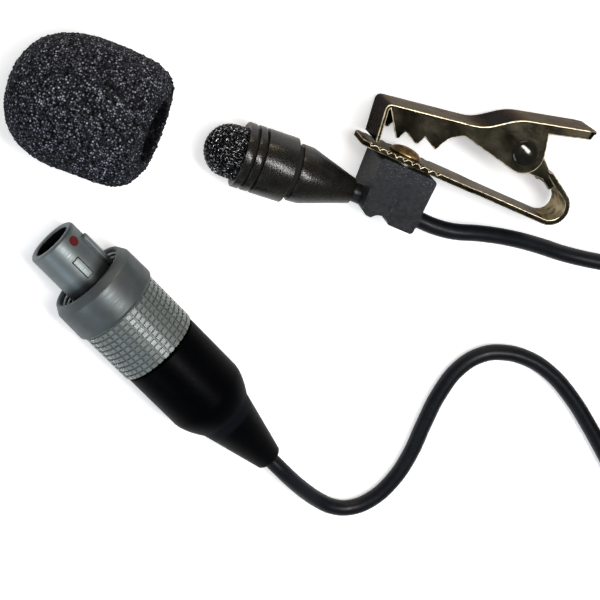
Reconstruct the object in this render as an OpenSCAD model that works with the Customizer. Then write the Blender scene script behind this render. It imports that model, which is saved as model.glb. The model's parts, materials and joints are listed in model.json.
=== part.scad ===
// Lavalier microphone with a swivelling clip, foam windscreen and locking plug.
// Millimetres, +Z up. Everything lies on the table at Z = 0, with the microphone
// along X and its nose towards -X.

/* [Microphone head] */
// Outer diameter of the head
head_d = 7.7; // [6.8:0.1:7.8]
// Step in from the collar to the wire mesh dome
dome_step = 0.75; // [0.6:0.05:0.8]
// Length of the dome in front of the collar
dome_len = 4.2; // [3.6:0.1:5]
// Wall of the dome
dome_wall = 0.35; // [0.25:0.05:0.45]
// Length of the dome that sits in the collar
dome_seat = 1; // [0.6:0.1:1.4]
// Length of the front collar
collar_len = 2.3; // [2:0.1:3]
// Length of the plain band
band_len = 3.7; // [3.2:0.1:5]
// Wall of the head
head_wall = 0.5; // [0.4:0.05:0.6]
// Width of each turned groove
groove_w = 0.2; // [0.1:0.02:0.3]
// Length of the neck between band and rear shell
step_len = 0.55; // [0.4:0.05:0.7]
// Step in from the band to the rear shell
shell_step = 0.45; // [0.35:0.05:0.6]
// Length of the straight part of the rear shell
shell_len = 1.5; // [1.2:0.1:2.4]
// Length of the rear cone
cone_len = 5.8; // [5:0.1:8]
// Diameter of the cone's small end
cone_end_d = 3.0; // [2.9:0.05:3.4]
// Step in from the dome's bore to the electret capsule
capsule_step = 0.2; // [0.15:0.05:0.3]
// Length of the electret capsule
capsule_len = 2.2; // [1.8:0.1:2.6]

/* [Holder block] */
// Length of the block along the clip
block_len = 7.2; // [6.8:0.1:8.5]
// Height of the block below the clip
block_h = 6.8; // [6.6:0.1:7.2]
// Width of the block
block_w = 8; // [7.8:0.1:9]
// Corner radius of the block
block_corner = 0.45; // [0.3:0.05:0.8]
// Radius of the round nick in the lower edge
nick_r = 1.3; // [0.8:0.1:1.6]
// Diameter of the rubber sleeve round the cord's neck
sleeve_d = 2.3; // [2.2:0.02:2.4]
// Length of the sleeve that stands out of the block
sleeve_out = 1.2; // [0.8:0.1:2]

/* [Clip] */
// Angle of the clip against the microphone
clip_angle = -5; // [-7:0.5:-3]
// Width of the jaws
jaw_w = 6.6; // [6.2:0.1:7]
// Thickness of the lower jaw's plate
plate_t = 0.65; // [0.5:0.05:0.8]
// Thickness of the upper jaw's sheet
sheet_t = 0.45; // [0.35:0.05:0.5]
// Length of the lower jaw in front of the rivet
plate_front = 6; // [5.8:0.1:6.6]
// Length of the lower jaw behind the rivet
plate_back = 20.2; // [19:0.1:22]
// Outer radius of the rear bend
bend_r = 2.3; // [2:0.1:3]
// Slope of the rear leg against the plate
leg_slope = 31; // [28:1:34]
// Length of the upper jaw in front of the rivet
jaw_front = 5.2; // [4.8:0.1:5.4]
// Length of the upper jaw behind the rivet
jaw_back = 18.8; // [18:0.1:20]
// Distance between two teeth
tooth_pitch = 2.35; // [2:0.05:2.5]
// Depth of the teeth
tooth_depth = 1.15; // [0.8:0.05:1.3]
// Gap between the first tooth and the plate
tooth_gap = 1.6; // [1.4:0.05:2]
// Distance of the pivot pin behind the rivet
pivot_x = 11.9; // [11.5:0.1:12.5]
// Height of the pivot pin over the outer face of the plate
pivot_y = 6.7; // [6.4:0.1:7]
// Diameter of the pivot pin
pin_d = 1.6; // [1.2:0.1:1.8]
// Diameter of the pin's heads
pin_head_d = 3.2; // [2.6:0.1:3.6]
// Thickness of the pin's heads
pin_head_t = 0.5; // [0.3:0.05:0.55]
// Diameter of the rivet's head
rivet_head_d = 3.8; // [3:0.1:4]
// Diameter of the rivet's shank
rivet_d = 1.6; // [1.2:0.1:2]
// Height of the jaw at its front fold
jaw_front_h = 5.5; // [5:0.1:6]
// Radius of the ears round the pin
ear_r = 2.4; // [2.2:0.05:2.5]
// Number of nicks along each edge of the lower jaw
nick_count = 9; // [6:1:9]
// Diameter of the spring's wire
wire_d = 0.4; // [0.3:0.05:0.45]
// Mean radius of the spring's coil
spring_r = 1.4; // [1.35:0.05:1.6]
// Number of whole turns in the spring
spring_turns = 4; // [3:1:4]

/* [Windscreen] */
// Outer diameter of the foam
foam_d = 15.2; // [14:0.1:17]
// Length of the foam
foam_len = 18.2; // [17:0.1:21]
// Diameter of the bore in the foam
foam_bore_d = 7; // [6.4:0.1:7.6]
// Depth of the bore in the foam
foam_bore_len = 11; // [9:0.5:12]

/* [Plug] */
// Outer diameter of the plug's barrel
barrel_d = 6.2; // [5.8:0.1:6.4]
// Wall of the plug's barrel
barrel_wall = 0.8; // [0.6:0.05:0.9]
// Length of the barrel in front of the coupling nut
barrel_out = 6; // [5.8:0.1:7]
// Depth of the insert behind the mouth
insert_depth = 2.6; // [1.8:0.1:3.4]
// Diameter of the coupling nut
nut_d = 11; // [10.6:0.1:11.4]
// Length of the smooth front of the coupling nut
nut_smooth_len = 4.9; // [4:0.1:5.5]
// Diameter of the knurled grip
knurl_d = 10.3; // [10:0.1:10.5]
// Length of the knurled grip
knurl_len = 7; // [6:0.1:8]
// Rings of the knurl
knurl_rings = 10; // [6:1:12]
// Grooves along the knurl
knurl_grooves = 36; // [24:2:40]
// Depth of the knurl
knurl_depth = 0.28; // [0.15:0.01:0.35]
// Diameter of the coupling thread
thread_d = 8.6; // [8.2:0.1:8.8]
// Diameter of the shell that the nut turns on
core_d = 7; // [6.8:0.1:7.4]
// Diameter of the boot
boot_d = 10; // [9.4:0.1:10.2]
// Length of the boot's body
boot_len = 8.3; // [7.5:0.1:9.5]
// Length of the boot's tail
tail_len = 8.4; // [8:0.1:11]
// Diameter of the tail behind the shoulder
tail_d = 7.2; // [6.6:0.1:7.6]
// Diameter of the tail's end
tail_end_d = 3.4; // [3:0.1:3.8]
// Diameter of the contacts
contact_d = 0.7; // [0.5:0.05:0.9]
// Number of contacts
contact_count = 3; // [3:1:4]

/* [Cord] */
// Diameter of the cord
cord_d = 2; // [1.8:0.05:2.05]

/* [Hidden] */
$fn = 48;

// Clearances
press_gap = 0.02;    // radial, pieces pressed together
run_gap = 0.04;      // radial, a pin or shell that turns
face_gap = 0.08;     // between faces that slide on each other
eps = 0.01;          // overshoot of a cut

// The nose tip on the table, from the origin below the middle of the parts
nose = [-9.82, -4.45];
axis_z = block_w / 2;

// Stations along the microphone, from its tip
collar_x = dome_len;
band_x = collar_x + collar_len;
step_x = band_x + band_len;
shell_x = step_x + step_len;
cone_x = shell_x + shell_len;
cone_end_x = cone_x + cone_len;
head_r = head_d / 2;
dome_r = head_r - dome_step;
shell_r = head_r - shell_step;
capsule_r = dome_r - dome_wall - capsule_step;
groove_depth = 0.2;
bore_r = head_r - head_wall;
spigot_len = 1.1;
cone_bore_end = cone_x + 0.4;
sleeve_socket = 1.6;

// The clip's own frame: x along the plate, y away from the block, z across
neck_len = 0.95;
block_front = -3.4;
clip_origin = [cone_end_x + neck_len - block_front, 5.4];
washer_t = 0.2;
washer_r = 2.1;
block_top = -washer_t - face_gap;
cone_end_in_clip = let (p = [cone_end_x - clip_origin[0], -clip_origin[1]])
    [p[0] * cos(clip_angle) + p[1] * sin(clip_angle),
     p[1] * cos(clip_angle) - p[0] * sin(clip_angle)];
neck_y = cone_end_in_clip[1];
sleeve_end_x = block_front + block_len + sleeve_out;
jaw_half = jaw_w / 2;
jaw_inner = jaw_half - sheet_t;
lug_outer = jaw_inner - 0.1;
lug_t = 0.5;
lug_inner = lug_outer - lug_t;
strip_half = lug_outer + 0.03;
lug_r = 2;
lug_depth = 1.5;
lug_start = 0.5;
plate_end = plate_back - bend_r;
leg_len = 3.6;
nick_start = 1.1;
nick_pitch = 1.06;
nick_size = 0.42;
rivet_depth = 2.6;
head_gap = 0.05;
jaw_tip_gap = 0.12;
lip_back = 0.7;
jaw_waist_x = 6.2;
jaw_waist_h = 0.5;
jaw_rise_x = 9.7;
jaw_rise_h = 3.1;
jaw_handle_h = 5.45;
tooth_x = -2.65;
tooth_rise = 0.3;
throat_len = 2.5;
throat_h = 2.8;
ear_back = 1.6;
handle_lip = 0.95;

// The windscreen's place, from the nose tip
foam_r = foam_d / 2;
foam_middle = [-14, 0.4];
foam_front_len = foam_len / 2;
foam_rim = 0.97;
foam_floor_gap = 0.02;
foam_pitch = 14;

// The plug's own frame: x from its mouth to its tail
plug_angle = -28.8;
nut_r = nut_d / 2;
boot_r = boot_d / 2;
nut_front_x = barrel_out;
nut_step_x = nut_front_x + nut_smooth_len;
nut_end_x = nut_step_x + knurl_len;
boot_gap = 0.3;
boot_x = nut_end_x + boot_gap;
shoulder_x = boot_x + boot_len;
shoulder_len = 3.2;
tail_x = shoulder_x + shoulder_len;
tail_end_x = tail_x + tail_len;
plug_pitch = asin((nut_r - boot_r) / (shoulder_x - nut_step_x));
plug_mouth = [-13.1, -15.8];
mouth_z = nut_r * cos(plug_pitch) + nut_step_x * sin(plug_pitch);
barrel_r = barrel_d / 2;
barrel_bore = barrel_r - barrel_wall;
barrel_step = 0.25;
mouth_bevel = 0.2;
core_r = core_d / 2;
core_bore = 2.6;
thread_r = thread_d / 2;
flange_x = nut_front_x + 2.4;
flange_t = 1;
lip_x = nut_end_x - 3.4;
ring_t = 0.5;
back_end_x = boot_x + 5;
collet_len = 3.6;
rib_angle = 80;
rib_x = 1.8;
dot_angle = 46;
dot_x = 1.3;
dot_r = 0.6;
dot_sink = 0.2;
dot_depth = 0.055;
pad_angle = 18;
pad_x = 2.8;

// The cord
cord_r = cord_d / 2;
run_sides = 8;
coil_sides = 6;
coil_pitch = 2.5;
layer_pitch = 2.45;
coil_outer = 16.3;
coil_loops = 19.625;
coil_steps = 24;
coil_start = 100;
coil_middle = [78.7, -10.5];
drop_turns = 0.6;
drop_out = 3.2;

// Free route from the sleeve to the coil, from the nose tip
mic_route = [[31.5, -0.8, 3.9], [34.4, -0.2, 3.5], [38.5, 0.3, 2.7], [42.5, 0.4, 1.9],
    [46.5, 0.3, 1.2], [50.5, 0.6, 1], [54.5, 1.2, 1], [59, 2, 1], [63.5, 3, 1], [67.8, 4, 1]];
// Free route from the boot to the coil, from the nose tip
plug_route = [[24.2, -36.4, 3.8], [26.6, -37.7, 2.7], [28.8, -38.7, 1.7], [31, -39.2, 1.2],
    [33.2, -38.8, 1], [35.3, -37.1, 1], [37, -34, 1], [37.9, -30, 1], [38.1, -25.4, 1],
    [38.5, -21, 1], [39.7, -17.2, 1], [41.8, -14.8, 1], [44.2, -13.8, 1], [47.2, -13.6, 1],
    [50.6, -14.4, 1], [54.8, -16.7, 1], [58.6, -19.6, 1], [61.1, -21.7, 1]];

// Frames

module on_table() {
    translate([nose[0], nose[1], 0]) children();
}

module on_head() {
    translate([nose[0], nose[1], axis_z]) children();
}

module on_clip() {
    translate([nose[0] + clip_origin[0], nose[1] + clip_origin[1], axis_z])
        rotate([0, 0, clip_angle]) children();
}

module on_plug() {
    translate([nose[0] + plug_mouth[0], nose[1] + plug_mouth[1], mouth_z])
        rotate([0, 0, plug_angle]) rotate([0, plug_pitch, 0]) children();
}

// A solid of revolution round X, from points [radius, x]
module turned(points) {
    rotate([0, 90, 0]) rotate_extrude() polygon(points);
}

// A round bar or ring along X
module bar(r, x0, x1, bore = 0) {
    turned([[bore, x0], [r, x0], [r, x1], [bore, x1]]);
}

// A sheet across the clip, from an outline in the side view
module across(half, from = undef) {
    start = is_undef(from) ? -half : from;
    translate([0, 0, start]) linear_extrude(half - start) children();
}

// Both side walls of a channel, from an outline in the side view
module side_walls(outer, t) {
    for (side = [-outer, outer - t])
        translate([0, 0, side]) linear_extrude(t) children();
}

// Tubes along a path, with the rings kept level

function unit(v) = v / norm(v);
function tangent(path, i) =
    let (last = len(path) - 1)
    i == 0 ? unit(path[1] - path[0])
    : i == last ? unit(path[last] - path[last - 1])
    : unit(unit(path[i + 1] - path[i]) + unit(path[i] - path[i - 1]));
function ring(path, i, r, sides) =
    let (t = tangent(path, i), side = unit(cross(t, [0, 0, 1])), up = cross(side, t))
    [for (k = [0:sides - 1])
        let (a = 360 * (k + 0.5) / sides)
        path[i] + r * (cos(a) * side + sin(a) * up)];

module tube(path, r, sides) {
    n = len(path);
    points = [for (i = [0:n - 1]) each ring(path, i, r, sides)];
    walls = [for (i = [0:n - 2], k = [0:sides - 1])
        let (a = i * sides + k, b = i * sides + (k + 1) % sides)
        each [[a, a + sides, b], [b, a + sides, b + sides]]];
    front = [for (k = [1:sides - 2]) [0, k, k + 1]];
    back = [for (k = [1:sides - 2])
        let (base = (n - 1) * sides)
        [base, base + k + 1, base + k]];
    polyhedron(points, concat(walls, front, back));
}

// Microphone head

function dome_outline(r, nose_len, x0, count) =
    [for (i = [0:count])
        let (a = 90 * i / count)
        [r * sin(a), x0 + nose_len * (1 - cos(a))]];

module mesh_dome() {
    nose_len = 3;
    outer = dome_outline(dome_r, nose_len, 0, 10);
    inner = dome_outline(dome_r - dome_wall, nose_len - dome_wall, dome_wall, 8);
    color("#1b1c1f")
        on_head()
        turned(concat(outer,
            [[dome_r, collar_x + dome_seat], [dome_r - dome_wall, collar_x + dome_seat]],
            [for (i = [len(inner) - 1:-1:0]) inner[i]]));
}

// Two turned grooves mark the collar's front land and its joint with the band
module grille_collar() {
    groove_r = head_r - groove_depth;
    groove_x = collar_x + 0.95;
    seat_end = collar_x + dome_seat;
    chamfer = 0.12;
    color("#2a2a2d")
        on_head()
        turned([[dome_r + press_gap, collar_x], [head_r - chamfer, collar_x],
            [head_r, collar_x + chamfer], [head_r, groove_x], [groove_r, groove_x],
            [groove_r, groove_x + groove_w], [head_r, groove_x + groove_w],
            [head_r, band_x - groove_w], [groove_r, band_x - groove_w], [groove_r, band_x],
            [bore_r - press_gap, band_x], [bore_r - press_gap, band_x + spigot_len],
            [capsule_r + press_gap, band_x + spigot_len], [capsule_r + press_gap, seat_end],
            [dome_r + press_gap, seat_end]]);
}

module head_body() {
    chamfer = 0.12;
    color("#29292c")
        on_head()
        turned([[bore_r, band_x], [head_r - chamfer, band_x], [head_r, band_x + chamfer],
            [head_r, step_x - chamfer], [head_r - chamfer, step_x], [bore_r, step_x]]);
}

module rear_cone() {
    groove_r = shell_r - 0.3;
    spigot_r = bore_r - press_gap;
    inner_r = spigot_r - head_wall;
    cord_hole = cord_r + 0.1;
    color("#2b2b2e")
        on_head()
        difference() {
            turned([[0, step_x - spigot_len], [spigot_r, step_x - spigot_len],
                [spigot_r, step_x], [groove_r, step_x], [groove_r, shell_x],
                [shell_r, shell_x], [shell_r - 0.05, cone_x], [cone_end_d / 2, cone_end_x],
                [0, cone_end_x]]);
            bar(inner_r, step_x - spigot_len - eps, cone_bore_end);
            bar(cord_hole, cone_bore_end - eps, cone_end_x + eps);
            translate([cone_end_x, 0, 0])
                rotate([0, 0, clip_angle])
                bar(sleeve_d / 2 + press_gap, -sleeve_socket, 1);
        }
}

module capsule() {
    front = collar_x + dome_seat + press_gap;
    color("#8f8a80")
        on_head()
        difference() {
            bar(capsule_r, front, front + capsule_len);
            bar(0.6, front - eps, front + 0.3);
        }
}

// Ring that seals the capsule's front against the back of the dome's rim
module capsule_gasket() {
    front = collar_x + 0.3;
    color("#202020")
        on_head()
        bar(dome_r - dome_wall - press_gap, front, collar_x + dome_seat, capsule_r - 0.7);
}

module head_board() {
    board_x = collar_x + dome_seat + capsule_len + 1;
    board_r = bore_r - press_gap;
    color("#1f5a3a")
        on_head()
        difference() {
            bar(board_r, board_x, board_x + 0.5);
            for (side = [-1, 1])
                translate([0, 0, side * 1.1]) bar(0.25, board_x - 1, board_x + 1);
        }
    color("#c8c8c4")
        on_head()
        for (side = [-1, 1])
            translate([0, 1.2 * side, 0]) bar(0.3, board_x - 0.98, board_x);
}

// Jacket inside the sleeve, and the two cores that run to the board
module mic_cord_end() {
    board_back = collar_x + dome_seat + capsule_len + 1.5;
    core_x = cone_bore_end + 0.2;
    jacket_x = cone_end_in_clip[0] - sleeve_socket;
    color("#15161a")
        on_clip()
        translate([0, neck_y, 0]) bar(cord_r, jacket_x, sleeve_end_x);
    color("#b9a25c")
        on_head()
        for (side = [-0.35, 0.35])
            translate([0, 0, side]) bar(0.22, board_back, cone_end_x - sleeve_socket);
}

module neck_sleeve() {
    color("#141416")
        on_clip()
        translate([0, neck_y, 0])
        bar(sleeve_d / 2, cone_end_in_clip[0] - sleeve_socket, sleeve_end_x, cord_r + press_gap);
}

// Holder block

module block_outline() {
    back = block_front + block_len;
    bottom = block_top - block_h;
    nick_x = -0.4;
    difference() {
        offset(r = block_corner)
            offset(delta = -block_corner)
            polygon([[block_front, block_top], [back, block_top], [back, bottom],
                [block_front + 1.2, bottom], [block_front + 0.5, bottom + 0.5]]);
        translate([nick_x, bottom - nick_r * 0.5]) circle(nick_r);
    }
}

module holder_block() {
    color("#3a3a3c")
        on_clip()
        difference() {
            across(block_w / 2) block_outline();
            translate([0, neck_y, 0])
                bar(sleeve_d / 2 + press_gap, -plate_front - 5, plate_back);
            translate([0, block_top - rivet_depth, 0])
                rotate([-90, 0, 0]) cylinder(r = rivet_d / 2 + press_gap, h = rivet_depth + 1);
        }
}

module rivet_washer() {
    color("#77736a")
        on_clip()
        translate([0, block_top, 0])
        rotate([-90, 0, 0])
        difference() {
            cylinder(r = washer_r, h = washer_t);
            translate([0, 0, -1]) cylinder(r = rivet_d / 2 + press_gap, h = washer_t + 2);
        }
}

module clip_rivet() {
    head_y = plate_t + head_gap;
    head_t = 0.8;
    dome = [for (i = [0:6]) let (a = 90 * i / 6) [rivet_head_d / 2 * cos(a) , head_t * sin(a)]];
    color("#b08a4a")
        on_clip()
        translate([0, head_y, 0])
        rotate([-90, 0, 0]) {
            rotate_extrude() polygon(concat([[0, 0]], dome));
            translate([0, 0, block_top - rivet_depth - head_y])
                cylinder(r = rivet_d / 2, h = head_y - block_top + rivet_depth + eps);
        }
}

// Points on an arc, and on a smooth curve that turns from a to b at p

function arc(centre, r, from, to, steps) =
    [for (i = [0:steps])
        let (a = from + (to - from) * i / steps)
        centre + r * [cos(a), sin(a)]];
function curve(a, p, b, steps) =
    [for (i = [0:steps])
        let (s = i / steps)
        (1 - s) * (1 - s) * a + 2 * s * (1 - s) * p + s * s * b];
function rounded(a, p, b, cut, steps) =
    curve(p + cut * unit(a - p), p, p + cut * unit(b - p), steps);

// A bent sheet's side view, from the line through its middle
function mitre(points, i) =
    let (last = len(points) - 1,
        before = unit(points[max(i, 1)] - points[max(i, 1) - 1]),
        after = unit(points[min(i, last - 1) + 1] - points[min(i, last - 1)]),
        along = unit(before + after))
    [-along[1], along[0]] / (along * before);
function ribbon(points, t) =
    let (last = len(points) - 1)
    concat([for (i = [0:last]) points[i] + mitre(points, i) * t / 2],
        [for (i = [last:-1:0]) points[i] - mitre(points, i) * t / 2]);

// Lower jaw: one bent strip, whose rear leg carries the lugs for the pin
bend_middle = [plate_end, bend_r];
leg_angle = 90 - leg_slope;
leg_normal = [cos(leg_angle), sin(leg_angle)];
leg_run = leg_len * [-sin(leg_angle), cos(leg_angle)];

module strip_outline() {
    outer = arc(bend_middle, bend_r, -90, leg_angle, 12);
    inner = arc(bend_middle, bend_r - plate_t, leg_angle, -90, 12);
    polygon(concat([[-plate_front, 0]], outer, [outer[12] + leg_run, inner[0] + leg_run],
        inner, [[-plate_front, plate_t]]));
}

// The strip seen along the rivet: wide front with round corners, narrow rear
module strip_plan() {
    tip_r = 1.4;
    wide_end = 7.5;
    taper = 2;
    side = concat(arc([tip_r - plate_front, jaw_half - tip_r], tip_r, 180, 90, 6),
        [[wide_end, jaw_half], [wide_end + taper, strip_half],
        [plate_back + 1, strip_half]]);
    polygon(concat(side, [for (i = [len(side) - 1:-1:0]) [side[i][0], -side[i][1]]]));
}

// Lugs from the leg to the pin
module lug_outline() {
    start = bend_middle + lug_start * leg_run;
    mid = start + (bend_r - plate_t / 2) * leg_normal;
    inner = start + (bend_r - lug_depth) * leg_normal;
    polygon(concat([mid, mid + (0.95 - lug_start) * leg_run],
        arc([pivot_x, pivot_y], lug_r, 46, 270, 14), [inner + leg_run * 0.45, inner]));
}

module lower_jaw() {
    color("#4a4038")
        on_clip()
        difference() {
            union() {
                intersection() {
                    across(jaw_w) strip_outline();
                    translate([0, -1, 0])
                        rotate([-90, 0, 0])
                        linear_extrude(3 * bend_r)
                        strip_plan();
                }
                side_walls(lug_outer, lug_t) lug_outline();
            }
            translate([pivot_x, pivot_y, -jaw_w]) cylinder(r = pin_d / 2 + press_gap, h = 2 * jaw_w);
            translate([0, -1, 0]) rotate([-90, 0, 0]) cylinder(r = rivet_d / 2 + run_gap, h = 3);
            for (i = [0:nick_count - 1], side = [-1, 1])
                translate([nick_start - plate_front + i * nick_pitch, plate_t, side * jaw_half])
                    rotate([0, 0, 45])
                    cube([nick_size, nick_size, 1.2], center = true);
        }
}

// Upper jaw: a stamped channel with a folded front lip, toothed walls and a handle

jaw_tip = [lip_back - jaw_front, plate_t + jaw_tip_gap + sheet_t / 2];
jaw_fold = [-jaw_front, jaw_front_h - 0.2];
jaw_waist = [jaw_waist_x, pivot_y + jaw_waist_h];
jaw_rise = [jaw_rise_x, pivot_y + jaw_rise_h];
jaw_handle = [jaw_back, pivot_y + jaw_handle_h];
tooth_top = plate_t + tooth_gap;
tooth_round = 0.22;
function tooth(tip) = arc(tip + [0, tooth_round], tooth_round, 190, 345, 4);

module jaw_web() {
    polygon(ribbon(concat([jaw_tip], rounded(jaw_tip, jaw_fold, jaw_waist, 0.6, 5),
        rounded(jaw_fold, jaw_waist, jaw_rise, 1.2, 4),
        rounded(jaw_waist, jaw_rise, jaw_handle, 1.2, 4), [jaw_handle]), sheet_t));
}

module jaw_wall() {
    pin = [pivot_x, pivot_y];
    first = [tooth_x, tooth_top];
    second = first + [tooth_pitch, tooth_rise];
    third = second + [tooth_pitch, tooth_rise];
    valley = [tooth_pitch / 4, tooth_depth];
    throat = third + [throat_len, throat_h];
    polygon(concat([jaw_fold + [0.3, -0.02]], tooth(first), [first + valley], tooth(second),
        [second + valley], tooth(third), curve(third + valley / 3, third + [0.25, 0.8] * throat_h, throat, 5),
        arc(pin, ear_r, 259, 375, 9),
        [[pin[0] + ear_back, jaw_rise[1]], jaw_handle + [-0.4, -handle_lip],
        jaw_handle + [-0.15, -0.03], jaw_rise, jaw_waist]));
}

// What is cut off the handle's corners, seen along the rivet
module handle_corner() {
    corner = 1.2;
    end_x = jaw_handle[0] + sheet_t / 2;
    polygon(concat(arc([end_x - corner, jaw_half - corner], corner, 90, 0, 5),
        [[end_x + 1, jaw_half - corner], [end_x + 1, jaw_half + 1],
        [end_x - corner, jaw_half + 1]]));
}

module upper_jaw() {
    color("#4d433b")
        on_clip()
        difference() {
            union() {
                across(jaw_half) jaw_web();
                side_walls(jaw_half, sheet_t) jaw_wall();
            }
            translate([pivot_x, pivot_y, -jaw_w]) cylinder(r = pin_d / 2 + run_gap, h = 2 * jaw_w);
            for (side = [0, 1])
                mirror([0, 0, side]) rotate([90, 0, 0]) mirror([0, 0, 1])
                    linear_extrude(30) handle_corner();
        }
}

module pivot_pin() {
    inner = jaw_half + face_gap / 2;
    head = [for (i = [0:5]) let (a = 90 * i / 5) [pin_head_d / 2 * cos(a), pin_head_t * sin(a)]];
    color("#57504a")
        on_clip()
        translate([pivot_x, pivot_y, 0]) {
            translate([0, 0, -inner]) cylinder(r = pin_d / 2, h = 2 * inner);
            for (side = [0, 1])
                mirror([0, 0, side])
                    translate([0, 0, inner]) rotate_extrude() polygon(concat([[0, 0]], head));
        }
}

// Spring: coil round the pin, one leg on the inside of the plate's rear leg, one up under
// the handle
leg_rest = bend_middle + 0.36 * leg_run
    + (bend_r - plate_t - wire_d / 2 - press_gap) * leg_normal - [pivot_x, pivot_y];
lower_leg_len = sqrt(leg_rest * leg_rest - spring_r * spring_r);
lower_leg_angle = atan2(leg_rest[1], leg_rest[0]) + atan2(spring_r, lower_leg_len);
upper_leg_angle = 35;
upper_leg_len = 4.8;
spring_steps = 8;
spring_start = lower_leg_angle - 90;
spring_sweep = 360 * spring_turns + spring_start - upper_leg_angle - 90 + 360;
spring_count = round(spring_sweep * spring_steps / 360);
spring_half = lug_inner - 0.1 - wire_d / 2;
function spring_point(i) =
    let (a = spring_start - spring_sweep * i / spring_count,
        z = spring_half * (2 * i / spring_count - 1))
    [pivot_x + spring_r * cos(a), pivot_y + spring_r * sin(a), z];
lower_leg = [cos(lower_leg_angle), sin(lower_leg_angle), 0];
upper_leg = [cos(upper_leg_angle), sin(upper_leg_angle), 0];
spring_path = concat([spring_point(0) + lower_leg_len * lower_leg],
    [for (i = [0:spring_count]) spring_point(i)],
    [spring_point(spring_count) + upper_leg_len * upper_leg]);
echo(spring_gap = 720 * spring_half / spring_sweep - wire_d, leg = [lower_leg_len, lower_leg_angle]);

module torsion_spring() {
    color("#8a8278")
        on_clip() tube(spring_path, wire_d / 2, 6);
}

// Windscreen

foam_steps = 10;
nose_power = 2.5;
mouth_power = 3.4;
function foam_radius(u, power) = foam_r * pow(1 - pow(u, power), 1 / power);
foam_nose = [for (i = [0:foam_steps])
    let (u = cos(90 * i / foam_steps))
    [foam_radius(u, nose_power), -foam_front_len * u]];
foam_back = [for (i = [1:foam_steps])
    let (u = foam_rim * sin(90 * i / foam_steps))
    [foam_radius(u, mouth_power), foam_front_len * u]];
// It rests on its round side with the mouth tilted up, as the bore makes that end lighter
foam_rest = max([for (p = foam_nose) p[0] * cos(foam_pitch) - p[1] * sin(foam_pitch)]);
foam_z = foam_rest + foam_floor_gap;
echo(foam_z = foam_z);

module windscreen() {
    bore_r_foam = foam_bore_d / 2;
    mouth = foam_front_len * foam_rim;
    floor_x = mouth - foam_bore_len;
    color("#17181a")
        on_table()
        translate([foam_middle[0], foam_middle[1], foam_z])
        rotate([0, -foam_pitch, 0])
        difference() {
            turned(concat(foam_nose, foam_back, [[0, mouth]]));
            turned([[0, floor_x], [bore_r_foam - 1.2, floor_x], [bore_r_foam, floor_x + 1.2],
                [bore_r_foam, mouth + 1], [0, mouth + 1]]);
        }
}

// Plug

module plug_shell() {
    chamfer = 0.25;
    root = 0.5;
    rib_w = 1;
    rib_h = 0.38;
    pad = [2.5, 0.9];
    pad_h = 0.12;
    step_r = barrel_bore - barrel_step;
    color("#9aa09c")
        on_plug() {
            difference() {
                union() {
                    turned([[0, 0], [barrel_r - chamfer, 0], [barrel_r, chamfer],
                        [barrel_r, flange_x], [core_r + 0.5, flange_x],
                        [core_r + 0.5, flange_x + flange_t], [0, flange_x + flange_t]]);
                    rotate([-rib_angle, 0, 0])
                        translate([rib_x, 0, barrel_r - root])
                        rib_block(barrel_out - rib_x, rib_w, root + rib_h);
                    rotate([-pad_angle, 0, 0])
                        translate([pad_x, -pad[1] / 2, barrel_r - root])
                        cube([pad[0], pad[1], root + pad_h]);
                }
                bar(barrel_bore, -eps, insert_depth);
                turned([[0, -eps], [barrel_bore + mouth_bevel, -eps],
                    [barrel_bore, mouth_bevel], [0, mouth_bevel]]);
                bar(step_r, insert_depth - eps, flange_x + flange_t + eps);
                on_dot() cylinder(r = dot_r + press_gap, h = 1);
            }
        }
}

// A rib with a round front end
module rib_block(len, w, h) {
    linear_extrude(h)
        polygon(concat(arc([w / 2, 0], w / 2, 270, 90, 8), [[len, w / 2], [len, -w / 2]]));
}

module key_dot() {
    color("#b0342c")
        on_plug()
        on_dot() cylinder(r = dot_r, h = dot_sink - dot_depth);
}

// The floor of the round recess in the barrel that holds the dot
module on_dot() {
    rotate([-dot_angle, 0, 0]) translate([dot_x, 0, barrel_r - dot_sink]) children();
}

module plug_insert() {
    insert_r = barrel_bore - barrel_step - press_gap;
    color("#202122")
        on_plug()
        difference() {
            bar(insert_r, insert_depth + 0.4, flange_x);
            contact_places() bar(contact_d / 2 + press_gap, insert_depth, flange_x + 1);
        }
}

module contact_places() {
    ring_r = 1.15;
    for (i = [0:contact_count - 1])
        rotate([360 * i / contact_count, 0, 0]) translate([0, 0, ring_r]) children();
}

module contact_pins() {
    color("#c9a64a")
        on_plug()
        contact_places() bar(contact_d / 2, insert_depth - 1.4, flange_x + 1.2);
}

// Nut: smooth front, square knurl, thread inside, and a rear lip that runs on the shell
module coupling_nut() {
    front_r = nut_r - 0.1;
    bevel = 0.6;
    lead = 0.2;
    knurl_r = knurl_d / 2;
    ring_pitch = knurl_len / knurl_rings;
    land = 0.6 * ring_pitch;
    grip = [for (i = [0:knurl_rings - 1])
        let (x = nut_step_x + i * ring_pitch)
        each [[knurl_r - knurl_depth, x], [knurl_r - knurl_depth, x + ring_pitch - land],
            [knurl_r, x + ring_pitch - land], [knurl_r, x + ring_pitch]]];
    color("#a3a9a6")
        on_plug()
        difference() {
            turned(concat([[thread_r, nut_front_x + lead], [thread_r + lead, nut_front_x],
                [front_r - bevel * 0.6, nut_front_x], [front_r, nut_front_x + bevel],
                [nut_r, nut_step_x - 0.3], [nut_r - 0.3, nut_step_x]], grip,
                [[knurl_r - 0.4, nut_end_x], [core_r + run_gap, nut_end_x],
                [core_r + run_gap, lip_x], [thread_r, lip_x]]));
            knurl_cuts(knurl_r);
        }
}

module knurl_cuts(knurl_r) {
    cut_w = 3.14 * knurl_d / knurl_grooves * 0.4;
    for (i = [1:knurl_grooves])
        rotate([360 * (i - 0.4) / knurl_grooves, 0, 0])
            translate([nut_step_x + eps, -cut_w / 2, knurl_r - knurl_depth - 2 * eps])
            cube([knurl_len + 1, cut_w, 2]);
}

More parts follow.
